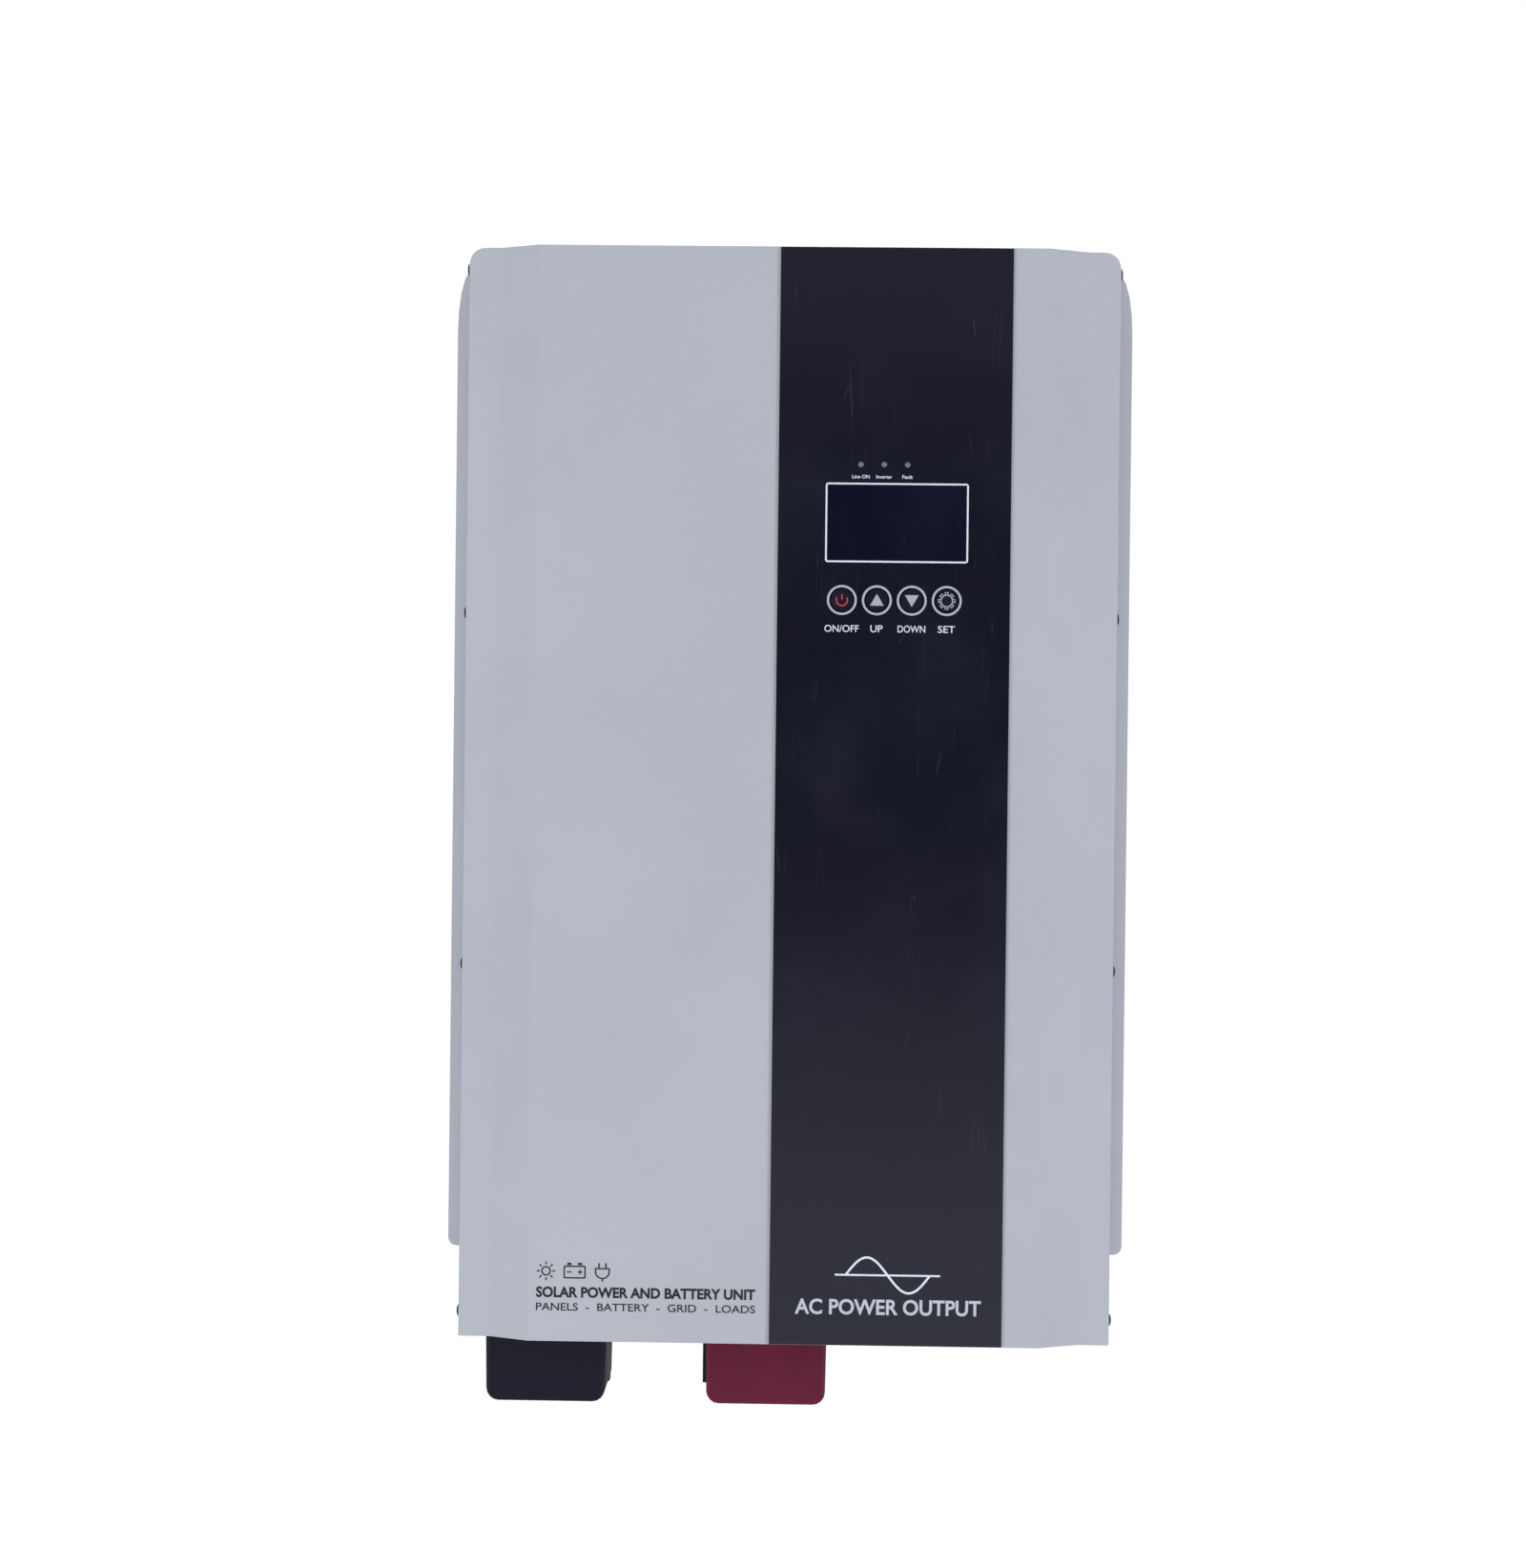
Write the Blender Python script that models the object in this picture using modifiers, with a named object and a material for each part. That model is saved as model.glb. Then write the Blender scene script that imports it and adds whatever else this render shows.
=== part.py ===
"""A wall-hung solar inverter-charger with a folded sheet-metal case, built as separate pieces.

Metres, +Z up. The origin is the centre of the back plate's rear face, which lies on the wall.
The front faces -Y, and +X is to the right for someone who stands in front of it.
"""

import math

import bmesh
import bpy
from mathutils import Matrix, Vector

# ---------------------------------------------------------------- driving dimensions
COVER_WIDTH = 0.400
COVER_HEIGHT = 0.670
DEPTH = 0.215
CASE_WIDTH = 0.4196
SHEET = 0.0015
GAP = 0.0003  # between pieces that touch

HALF = COVER_WIDTH / 2
TOP = COVER_HEIGHT / 2
BOTTOM = -TOP

# The black control panel on the cover's face.
PANEL_THICK = 0.0010
PANEL_LEFT = -0.0084
PANEL_WIDTH = 0.1417
PANEL_FRONT = -DEPTH

# The folded cover.
FACE_Y = PANEL_FRONT + PANEL_THICK + GAP
FACE_INSIDE = FACE_Y + SHEET
RIM_STEP = 0.0115
RIM_Y = FACE_Y + RIM_STEP
FLAT_HALF = 0.156
FACET_HALF = 0.1805
FLANGE = 0.022
FLANGE_Y = RIM_Y + FLANGE
CORNER_RADIUS = 0.010
EDGE_RADIUS = 0.0006  # on the sheet metal's own edges

# The chassis that the cover slips over.
CHASSIS_HALF = HALF - SHEET - GAP
CHASSIS_TOP = TOP - SHEET - GAP
CHASSIS_BOTTOM = BOTTOM + 0.002
CHASSIS_FRONT = RIM_Y + SHEET + GAP
BACK_INSIDE = -SHEET
WALL_INSIDE = CHASSIS_HALF - SHEET

# The recessed panel underneath, where everything is connected.
CONNECT_Z = BOTTOM + 0.056
CONNECT_LIP = 0.012
CONNECT_TOP = CONNECT_Z + SHEET

# Screws on each side flange, down from the cover's top edge.
SCREW_DROPS = (0.012, 0.224, 0.441, 0.656)
SCREW_Y = RIM_Y + 0.010
SCREW_HEAD_RADIUS = 0.0046
SCREW_HEAD_HEIGHT = 0.0020
SCREW_SHANK_RADIUS = 0.0019
SCREW_HOLE_RADIUS = 0.0023
SCREW_LENGTH = 0.008

# Pieces on the control panel, across from its left edge and down from the top.
DISPLAY_SIZE = (0.0848, 0.0462)
DISPLAY_X = PANEL_LEFT + 0.07245
DISPLAY_Z = TOP - 0.1680
LED_Z = TOP - 0.1325
LED_PITCH = 0.0142
LED_FIRST_X = PANEL_LEFT + 0.0502
LED_NAMES = ("line", "inverter", "fault")
LED_HOLE_RADIUS = 0.0020
LED_RADIUS = 0.0016
BUTTON_Z = TOP - 0.2152
BUTTON_PITCH = 0.02127
BUTTON_FIRST_X = PANEL_LEFT + 0.0395
BUTTON_NAMES = ("power", "up", "down", "set")
BUTTON_RADIUS = 0.0070
BUTTON_TRAVEL = 0.0008
BOARD_THICK = 0.0016
DISPLAY_BOARD_Y = FACE_INSIDE + 0.0082  # its front face

# The toroidal transformer, on the back plate.
TOROID_X = 0.010
TOROID_Z = -0.115
TOROID_RADIUS = 0.118
TOROID_BORE = 0.038
TOROID_DEPTH = 0.110
PAD_THICK = 0.005
WASHER_THICK = 0.003

# The power stage above the transformer.
POWER_LOW_Z = 0.040
POWER_HIGH_Z = 0.290
POWER_HALF = 0.165
HEATSINK_FIN = 0.028
HEATSINK_BASE = 0.008
FIN_COUNT = 9
FIN_THICK = 0.003
UPPER_BOARD_Y = -0.115  # the front face of the two upper boards

# Fans in the left wall.
FAN_SIZE = 0.080
FAN_DEPTH = 0.025
FAN_BORE = 0.038
FAN_Y = -0.105
FAN_HEIGHTS = {"upper": 0.235, "lower": 0.130}
FAN_BLADES = 7
HUB_RADIUS = 0.016
BLADE_TIP = 0.0365
STRUT_THICK = 0.0025

# Battery terminals under the connection panel.
TERMINAL_X = {"negative": -0.1522, "positive": -0.0112}
TERMINAL_WIDTH = 0.0793
BASE_OFFSET = -0.003  # each bracket stands a little to the left of its cover
TERMINAL_TOP = CONNECT_Z - GAP
TERMINAL_BOTTOM = -0.3898
TERMINAL_FRONT = -0.137
TERMINAL_WALL = 0.0025
TERMINAL_CORNER = 0.008
BASE_FRONT = -0.075
BASE_THICK = 0.012
STUD_Z = -0.338
STUD_RADIUS = 0.005
STUD_LENGTH = 0.034
SEAT_RADIUS = 0.013
SEAT_THICK = 0.003
LUG_THICK = 0.003
NUT_RADIUS = 0.0098
NUT_THICK = 0.008

# Keyholes in the back plate, one pair above and one below.
KEYHOLE_X = 0.150
KEYHOLE_HEIGHTS = (0.318, -0.235)
KEYHOLE_HEAD = 0.0080
KEYHOLE_SLOT = 0.0045
KEYHOLE_DROP = 0.016  # from the slot's round end down to the wide part

# Air slots in the right wall, opposite the fans.
VENT_ROWS = 14
VENT_PITCH = 0.018
VENT_SLOT = 0.007
VENT_LOW_Z = -0.020

# Ventilation hoods outside both side walls.
HOOD_FRONT = FLANGE_Y + 0.0010
HOOD_REAR = -0.030
HOOD_TOP = TOP - 0.008
HOOD_SLOPE_Z = HOOD_TOP - 0.039
HOOD_BOTTOM = CONNECT_Z - 0.0042
HOOD_END_RADIUS = 0.005
HOOD_TOP_STEPS = 6
HOOD_SHEET = 0.0012
HOOD_SLOTS = 22
HOOD_SLOT = 0.008

# Fittings in the connection panel: place, cut-out and height above the panel.
BREAKER = {"x": 0.150, "y": -0.145, "width": 0.036, "length": 0.045, "tall": 0.055}
SWITCH = {"x": 0.100, "y": -0.150, "width": 0.014, "length": 0.024, "tall": 0.022}
PORTS = {"x": 0.058, "y": -0.150, "width": 0.036, "length": 0.018, "tall": 0.016}
COLLAR = 0.003
GLANDS = {"ac": 0.085, "pv": 0.145}
GLAND_Y = -0.060
GLAND_THREAD = 0.0160
GLAND_NUT = 0.0205
GLAND_CABLE = 0.0095
GROUND = (0.182, -0.095)
LEVER_LEAN = 22  # degrees towards the wall
ROCKER_TIP = 7  # degrees

# ---------------------------------------------------------------- collections and materials
for old in list(bpy.data.objects):
    bpy.data.objects.remove(old, do_unlink=True)

PARTS = bpy.data.collections.new("solar_inverter")
HELPERS = bpy.data.collections.new("cutters")
HELPERS.hide_render = True
bpy.context.scene.collection.children.link(PARTS)
bpy.context.scene.collection.children.link(HELPERS)


def material(name, colour, roughness, metallic=0.0):
    made = bpy.data.materials.new(name)
    made.use_nodes = True
    shader = made.node_tree.nodes["Principled BSDF"]
    shader.inputs["Base Color"].default_value = (*colour, 1.0)
    shader.inputs["Roughness"].default_value = roughness
    shader.inputs["Metallic"].default_value = metallic
    made.diffuse_color = (*colour, 1.0)
    return made


COVER_PAINT = material("cover_paint", (0.47, 0.49, 0.55), 0.45)
CASE_PAINT = material("case_paint", (0.40, 0.41, 0.47), 0.50)
PANEL_BLACK = material("panel_black", (0.012, 0.013, 0.022), 0.25)
DISPLAY_DARK = material("display_dark", (0.005, 0.005, 0.016), 0.08)
LED_GREY = material("led_grey", (0.20, 0.20, 0.22), 0.20)
SCREW_STEEL = material("screw_steel", (0.10, 0.10, 0.11), 0.25, 1.0)
STEEL = material("zinc_steel", (0.55, 0.55, 0.57), 0.35, 1.0)
BRASS = material("brass", (0.62, 0.48, 0.22), 0.30, 1.0)
ALUMINIUM = material("aluminium", (0.60, 0.61, 0.63), 0.38, 1.0)
BLACK_PLASTIC = material("black_plastic", (0.018, 0.019, 0.030), 0.40)
RED_PLASTIC = material("red_plastic", (0.11, 0.018, 0.040), 0.40)
BOARD_GREEN = material("circuit_board", (0.02, 0.16, 0.06), 0.45)
RUBBER = material("rubber", (0.02, 0.02, 0.02), 0.80)
WINDING = material("winding_tape", (0.42, 0.24, 0.05), 0.50)
CAN_SLEEVE = material("capacitor_sleeve", (0.03, 0.04, 0.12), 0.35)


# ---------------------------------------------------------------- shape helpers
# Each turn carries a shape's own Z onto a world axis: "front" is -Y.
TURNS = {
    "up": Matrix.Identity(3).to_euler(),
    "down": Matrix.Rotation(math.pi, 3, "X").to_euler(),
    "front": Matrix.Rotation(math.pi / 2, 3, "X").to_euler(),
    "right": Matrix.Rotation(math.pi / 2, 3, "Y").to_euler(),
    "left": Matrix.Rotation(-math.pi / 2, 3, "Y").to_euler(),
    # An outline drawn in (y, z), thick along X.
    "side": Matrix(((0, 0, 1), (1, 0, 0), (0, 1, 0))).to_euler(),
}


def place(name, mesh, finish, at=(0, 0, 0), turn="up"):
    """Adds the mesh as a sub-part, or as a helper where it has no finish."""
    obj = bpy.data.objects.new(name, mesh)
    obj.location = at
    obj.rotation_euler = TURNS[turn]
    if finish:
        mesh.materials.append(finish)
        PARTS.objects.link(obj)
    else:
        obj.hide_render = True
        obj.display_type = "WIRE"
        HELPERS.objects.link(obj)
    return obj


def to_mesh(name, shape):
    mesh = bpy.data.meshes.new(name)
    bmesh.ops.recalc_face_normals(shape, faces=shape.faces)
    shape.to_mesh(mesh)
    shape.free()
    return mesh


def add_box(shape, low, high):
    low, high = Vector(low), Vector(high)
    size = Matrix.Diagonal((*(high - low), 1))
    bmesh.ops.create_cube(shape, size=1, matrix=Matrix.Translation((low + high) / 2) @ size)


def add_rod(shape, axis, centre, radius, start, end, sides=16):
    """A cylinder along axis 0, 1 or 2 from start to end; centre gives its other two coordinates."""
    middle = list(centre)
    middle.insert(axis, (start + end) / 2)
    turn = (Matrix.Rotation(math.pi / 2, 4, "Y"), Matrix.Rotation(math.pi / 2, 4, "X"), Matrix.Identity(4))
    bmesh.ops.create_cone(
        shape,
        cap_ends=True,
        segments=sides,
        radius1=radius,
        radius2=radius,
        depth=end - start,
        matrix=Matrix.Translation(middle) @ turn[axis],
    )


def box(name, finish, low, high):
    shape = bmesh.new()
    add_box(shape, low, high)
    return place(name, to_mesh(name, shape), finish)


def circle(centre, radius, sides=24):
    turns = (2 * math.pi * step / sides for step in range(sides))
    return [(centre[0] + radius * math.cos(a), centre[1] + radius * math.sin(a)) for a in turns]


def rectangle(centre, size, radius=0.0, steps=3):
    """A rectangle's outline, with round corners where it has a radius."""
    half = (size[0] / 2 - radius, size[1] / 2 - radius)
    points = []
    for quarter, (x, y) in enumerate(((1, 1), (-1, 1), (-1, -1), (1, -1))):
        corner = (centre[0] + x * half[0], centre[1] + y * half[1])
        if not radius:
            points.append(corner)
            continue
        for step in range(steps + 1):
            a = math.pi / 2 * (quarter + step / steps)
            points.append((corner[0] + radius * math.cos(a), corner[1] + radius * math.sin(a)))
    return points


def prism(outline, turn, start, end):
    """One flat outline without holes, drawn out from start to end: "up" in (x, y), "front" in (x, z)."""
    shape = bmesh.new()
    if turn == "front":
        corners, step = [(x, start, z) for x, z in outline], (0, end - start, 0)
    else:
        corners, step = [(x, y, start) for x, y in outline], (0, 0, end - start)
    face = shape.faces.new([shape.verts.new(corner) for corner in corners])
    drawn = bmesh.ops.extrude_face_region(shape, geom=[face])["geom"]
    moved = [item for item in drawn if isinstance(item, bmesh.types.BMVert)]
    bmesh.ops.translate(shape, vec=step, verts=moved)
    bmesh.ops.recalc_face_normals(shape, faces=shape.faces)
    return shape


def extruded_mesh(name, outlines, thickness):
    """A flat outline with holes, as a 2D curve of the given thickness, turned into a closed mesh."""
    curve = bpy.data.curves.new(name + "_outline", "CURVE")
    curve.dimensions = "2D"
    curve.fill_mode = "BOTH"
    curve.extrude = thickness / 2
    for points in outlines:
        spline = curve.splines.new("POLY")
        spline.points.add(len(points) - 1)
        for point, (x, y) in zip(spline.points, points):
            point.co = (x, y, 0, 1)
        spline.use_cyclic_u = True
    drawn = bpy.data.objects.new(name + "_outline", curve)
    HELPERS.objects.link(drawn)
    graph = bpy.context.evaluated_depsgraph_get()
    filled = bpy.data.meshes.new_from_object(drawn.evaluated_get(graph))
    bpy.data.objects.remove(drawn, do_unlink=True)
    shape = bmesh.new()
    shape.from_mesh(filled)
    bmesh.ops.remove_doubles(shape, verts=shape.verts, dist=1e-5)
    bpy.data.meshes.remove(filled)
    return to_mesh(name, shape)


def extruded(name, finish, outlines, turn, start, end):
    """The outlines as a solid from start to end along the turn's axis.

    "up" takes outlines in (x, y), "front" in (x, z) and "side" in (y, z).
    """
    middle = (start + end) / 2
    at = {"up": (0, 0, middle), "front": (0, middle, 0), "side": (middle, 0, 0)}[turn]
    return place(name, extruded_mesh(name, outlines, end - start), finish, at, turn)


def turned(name, finish, profile, at, turn, sides=16, ring=False):
    """A turned shape. The profile is (radius, height) down its outer side, closed up the bore on a ring."""
    mesh = bpy.data.meshes.new(name)
    edges = [(i, i + 1) for i in range(len(profile) - 1)]
    if ring:
        edges.append((len(profile) - 1, 0))
    mesh.from_pydata([(radius, 0, height) for radius, height in profile], edges, [])
    obj = place(name, mesh, finish, at, turn)
    screw = obj.modifiers.new("turn", "SCREW")
    screw.steps = screw.render_steps = sides
    screw.use_merge_vertices = True
    screw.merge_threshold = 1e-5
    screw.use_smooth_shade = True
    return obj


def boolean(target, other, operation):
    step = target.modifiers.new(other.name, "BOOLEAN")
    step.object = other
    step.operation = operation
    step.solver = "EXACT"


def helper(name, shape):
    return place(name, to_mesh(name, shape), None)


def drop_faces(shape, chosen):
    bmesh.ops.delete(shape, geom=[face for face in shape.faces if chosen(face)], context="FACES")


def round_edges(shape, radius, segments, chosen):
    edges = [edge for edge in shape.edges if len(edge.link_faces) == 2 and chosen(edge)]
    bmesh.ops.bevel(shape, geom=edges, offset=radius, segments=segments, affect="EDGES", profile=0.5)


def is_sharp(edge):
    return edge.calc_face_angle() > math.radians(40)


def along(edge, axis):
    direction = edge.verts[1].co - edge.verts[0].co
    return abs(direction[axis]) > 0.99 * direction.length


def shell(name, finish, shape, thickness):
    """An open surface whose faces point out, thickened inwards."""
    mesh = bpy.data.meshes.new(name)
    shape.to_mesh(mesh)
    shape.free()
    obj = place(name, mesh, finish)
    wall = obj.modifiers.new("wall", "SOLIDIFY")
    wall.thickness = thickness
    wall.offset = -1
    wall.use_even_offset = True
    return obj


def soften(obj, width):
    """Rounds the sharp edges of a finished wall by less than half its thickness."""
    bevel = obj.modifiers.new("edges", "BEVEL")
    bevel.width = width
    bevel.segments = 2
    bevel.limit_method = "ANGLE"
    bevel.angle_limit = math.radians(40)
    bevel.harden_normals = False


# ---------------------------------------------------------------- case
def screw_holes():
    shape = bmesh.new()
    for side in (-1, 1):
        for drop in SCREW_DROPS:
            ends = sorted((side * (WALL_INSIDE - 0.004), side * (HALF + 0.004)))
            add_rod(shape, 0, (SCREW_Y, TOP - drop), SCREW_HOLE_RADIUS, *ends, sides=10)
    return helper("screw_holes", shape)


def front_cover(holes):
    """Flat centre, a slanted facet and a rim on each side, flanges turned back, open below and behind."""
    half = [(-HALF, FLANGE_Y), (-HALF, RIM_Y), (-FACET_HALF, RIM_Y), (-FLAT_HALF, FACE_Y)]
    outline = half + [(-x, y) for x, y in reversed(half)]
    shape = prism(outline, "up", BOTTOM, TOP)
    drop_faces(shape, lambda face: face.normal.y > 0.9 or face.normal.z < -0.9)
    round_edges(shape, CORNER_RADIUS, 5, lambda edge: along(edge, 1) and is_sharp(edge))
    cover = shell("front_cover", COVER_PAINT, shape, SHEET)
    soften(cover, EDGE_RADIUS)

    openings = bmesh.new()
    ends = (FACE_Y - 0.002, FACE_INSIDE + 0.002)
    window = (DISPLAY_SIZE[0] / 2 - 0.003, DISPLAY_SIZE[1] / 2 - 0.003)
    add_box(
        openings,
        (DISPLAY_X - window[0], ends[0], DISPLAY_Z - window[1]),
        (DISPLAY_X + window[0], ends[1], DISPLAY_Z + window[1]),
    )
    for x in led_places():
        add_rod(openings, 1, (x, LED_Z), LED_HOLE_RADIUS, *ends, sides=12)
    for x in button_places():
        add_rod(openings, 1, (x, BUTTON_Z), BUTTON_RADIUS + GAP, *ends, sides=24)
    boolean(cover, helper("cover_openings", openings), "DIFFERENCE")
    boolean(cover, holes, "DIFFERENCE")


def keyhole_outline(x, z):
    """A slot over a wide round part: the bolt's head enters below, and the shank ends up in the slot."""
    half_width = math.asin(KEYHOLE_SLOT / KEYHOLE_HEAD)
    points = []
    for step in range(7):
        a = math.pi * step / 6
        points.append((x + KEYHOLE_SLOT * math.cos(a), z + KEYHOLE_SLOT * math.sin(a)))
    for step in range(13):
        a = math.pi / 2 + half_width + (2 * math.pi - 2 * half_width) * step / 12
        points.append((x + KEYHOLE_HEAD * math.cos(a), z - KEYHOLE_DROP + KEYHOLE_HEAD * math.sin(a)))
    return points


def rear_chassis(holes):
    """Back plate, side walls and roof, folded from one sheet: open in front and below."""
    shape = bmesh.new()
    add_box(shape, (-CHASSIS_HALF, CHASSIS_FRONT, CHASSIS_BOTTOM), (CHASSIS_HALF, 0, CHASSIS_TOP))
    shape.normal_update()
    drop_faces(shape, lambda face: face.normal.y < -0.9 or face.normal.z < -0.9)
    corner = CORNER_RADIUS - SHEET - GAP
    round_edges(shape, corner, 5, lambda edge: along(edge, 1) and is_sharp(edge))
    chassis = shell("rear_chassis", CASE_PAINT, shape, SHEET)
    boolean(chassis, holes, "DIFFERENCE")

    for number, (x, z) in enumerate((x, z) for z in KEYHOLE_HEIGHTS for x in (-KEYHOLE_X, KEYHOLE_X)):
        name = f"keyhole_cutter_{number + 1}"
        slot = extruded(name, None, [keyhole_outline(x, z)], "front", -0.006, 0.004)
        boolean(chassis, slot, "DIFFERENCE")

    vents = bmesh.new()
    wall = (WALL_INSIDE - 0.003, CHASSIS_HALF + 0.003)
    for z in FAN_HEIGHTS.values():
        add_rod(vents, 0, (FAN_Y, z), FAN_BORE, -wall[1], -wall[0], sides=24)
    for row in range(VENT_ROWS):
        z = VENT_LOW_Z + row * VENT_PITCH
        add_box(vents, (wall[0], FAN_Y - 0.045, z), (wall[1], FAN_Y + 0.045, z + VENT_SLOT))
    boolean(chassis, helper("wall_vents", vents), "DIFFERENCE")


def side_louvre(name, side):
    """A ventilation hood on a side wall: it curves in at its top and ends square below."""
    inner = CHASSIS_HALF + GAP
    outer = CASE_WIDTH / 2
    outline = [(inner, HOOD_BOTTOM)]
    for step in range(4):
        a = math.pi / 2 * (step / 3 - 1)
        outline.append(
            (
                outer - HOOD_END_RADIUS * (1 - math.cos(a)),
                HOOD_BOTTOM + HOOD_END_RADIUS * (1 + math.sin(a)),
            )
        )
    drop = outer - inner - HOOD_SHEET
    for step in range(HOOD_TOP_STEPS):
        a = math.pi / 2 * step / (HOOD_TOP_STEPS - 1)
        outline.append(
            (
                outer - drop * (1 - math.cos(a)),
                HOOD_SLOPE_Z + (HOOD_TOP - HOOD_SLOPE_Z) * math.sin(a),
            )
        )
    outline.append((inner, HOOD_TOP))
    outline = [(side * x, z) for x, z in outline]
    shape = prism(outline, "front", HOOD_FRONT, HOOD_REAR)
    drop_faces(shape, lambda face: face.normal.x * side < -0.9)
    hood = shell(name, CASE_PAINT, shape, HOOD_SHEET)

    slots = bmesh.new()
    pitch = (HOOD_SLOPE_Z - HOOD_BOTTOM - 0.030) / HOOD_SLOTS
    ends = sorted((side * (outer - 0.005), side * (outer + 0.003)))
    for row in range(HOOD_SLOTS):
        z = HOOD_BOTTOM + 0.020 + row * pitch
        add_box(slots, (ends[0], HOOD_FRONT + 0.020, z), (ends[1], HOOD_REAR - 0.020, z + HOOD_SLOT))
    boolean(hood, helper(name + "_slots", slots), "DIFFERENCE")


def cover_screws():
    """Truss-head screws through the cover's flanges into the chassis."""
    head = []
    for step in range(4):
        a = math.pi / 2 * step / 3
        head.append((SCREW_HEAD_RADIUS * math.sin(a), SCREW_HEAD_HEIGHT * math.cos(a)))
    profile = head + [(SCREW_SHANK_RADIUS, 0), (SCREW_SHANK_RADIUS, -SCREW_LENGTH), (0, -SCREW_LENGTH)]
    for side, turn in (("left", "left"), ("right", "right")):
        x = (HALF + GAP) * (1 if side == "right" else -1)
        for number, drop in enumerate(SCREW_DROPS):
            name = f"cover_screw_{side}_{number + 1}"
            turned(name, SCREW_STEEL, profile, (x, SCREW_Y, TOP - drop), turn, sides=12)


# ---------------------------------------------------------------- control panel
def led_places():
    return [LED_FIRST_X + number * LED_PITCH for number in range(len(LED_NAMES))]


def button_places():
    return [BUTTON_FIRST_X + number * BUTTON_PITCH for number in range(len(BUTTON_NAMES))]


def control_panel():
    middle = PANEL_LEFT + PANEL_WIDTH / 2
    outlines = [rectangle((middle, 0), (PANEL_WIDTH, COVER_HEIGHT - 0.001))]
    outlines.append(rectangle((DISPLAY_X, DISPLAY_Z), DISPLAY_SIZE, 0.0015))
    outlines += [circle((x, LED_Z), LED_HOLE_RADIUS, 12) for x in led_places()]
    outlines += [circle((x, BUTTON_Z), BUTTON_RADIUS + GAP) for x in button_places()]
    extruded("control_panel", PANEL_BLACK, outlines, "front", PANEL_FRONT, PANEL_FRONT + PANEL_THICK)

    clear = 2 * GAP
    size = (DISPLAY_SIZE[0] - clear, DISPLAY_SIZE[1] - clear)
    window = [rectangle((DISPLAY_X, DISPLAY_Z), size, 0.0012)]
    extruded("display_window", DISPLAY_DARK, window, "front", PANEL_FRONT, PANEL_FRONT + PANEL_THICK)


def display_electronics():
    front = FACE_INSIDE + GAP
    half = (0.046, 0.028)
    box(
        "lcd_module",
        BLACK_PLASTIC,
        (DISPLAY_X - half[0], front, DISPLAY_Z - half[1]),
        (DISPLAY_X + half[0], DISPLAY_BOARD_Y - GAP, DISPLAY_Z + half[1]),
    )

    low = (DISPLAY_X - 0.058, BUTTON_Z - 0.0148)
    high = (DISPLAY_X + 0.058, LED_Z + 0.0125)
    board = box(
        "display_board",
        BOARD_GREEN,
        (low[0], DISPLAY_BOARD_Y, low[1]),
        (high[0], DISPLAY_BOARD_Y + BOARD_THICK, high[1]),
    )
    posts = bmesh.new()
    for x in (low[0] + 0.005, high[0] - 0.005):
        for z in (low[1] + 0.005, high[1] - 0.005):
            add_rod(posts, 1, (x, z), 0.003, front, DISPLAY_BOARD_Y + BOARD_THICK / 2, sides=10)
    for x in button_places():
        switch = (x - 0.003, DISPLAY_BOARD_Y - 0.0034, BUTTON_Z - 0.003)
        add_box(posts, switch, (x + 0.003, DISPLAY_BOARD_Y + BOARD_THICK / 2, BUTTON_Z + 0.003))
    boolean(board, helper("board_posts_and_switches", posts), "UNION")

    for name, x in zip(LED_NAMES, led_places()):
        length = DISPLAY_BOARD_Y - GAP - PANEL_FRONT
        dome = [(LED_RADIUS * math.sin(a), -LED_RADIUS * (1 - math.cos(a))) for a in (0, 0.55, 1.1)]
        profile = dome + [(LED_RADIUS, -LED_RADIUS), (LED_RADIUS, -length), (0, -length)]
        turned(f"led_{name}", LED_GREY, profile, (x, PANEL_FRONT, LED_Z), "front", sides=12)


def buttons():
    """Round keys that stand in the panel. A flange behind the cover's sheet keeps each one in."""
    flange_front = FACE_INSIDE + GAP
    plunger_end = DISPLAY_BOARD_Y - 0.0034 - BUTTON_TRAVEL - GAP
    # Heights run back from the key's face.
    flange = flange_front - PANEL_FRONT
    length = plunger_end - PANEL_FRONT
    edge = 0.0004
    profile = [
        (0, 0),
        (BUTTON_RADIUS - edge, 0),
        (BUTTON_RADIUS, -edge),
        (BUTTON_RADIUS, -flange),
        (BUTTON_RADIUS + 0.0012, -flange),
        (BUTTON_RADIUS + 0.0012, -flange - 0.0010),
        (0.0022, -flange - 0.0010),
        (0.0022, -length),
        (0, -length),
    ]
    for name, x in zip(BUTTON_NAMES, button_places()):
        turned(f"button_{name}", PANEL_BLACK, profile, (x, PANEL_FRONT, BUTTON_Z), "front", sides=24)


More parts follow.
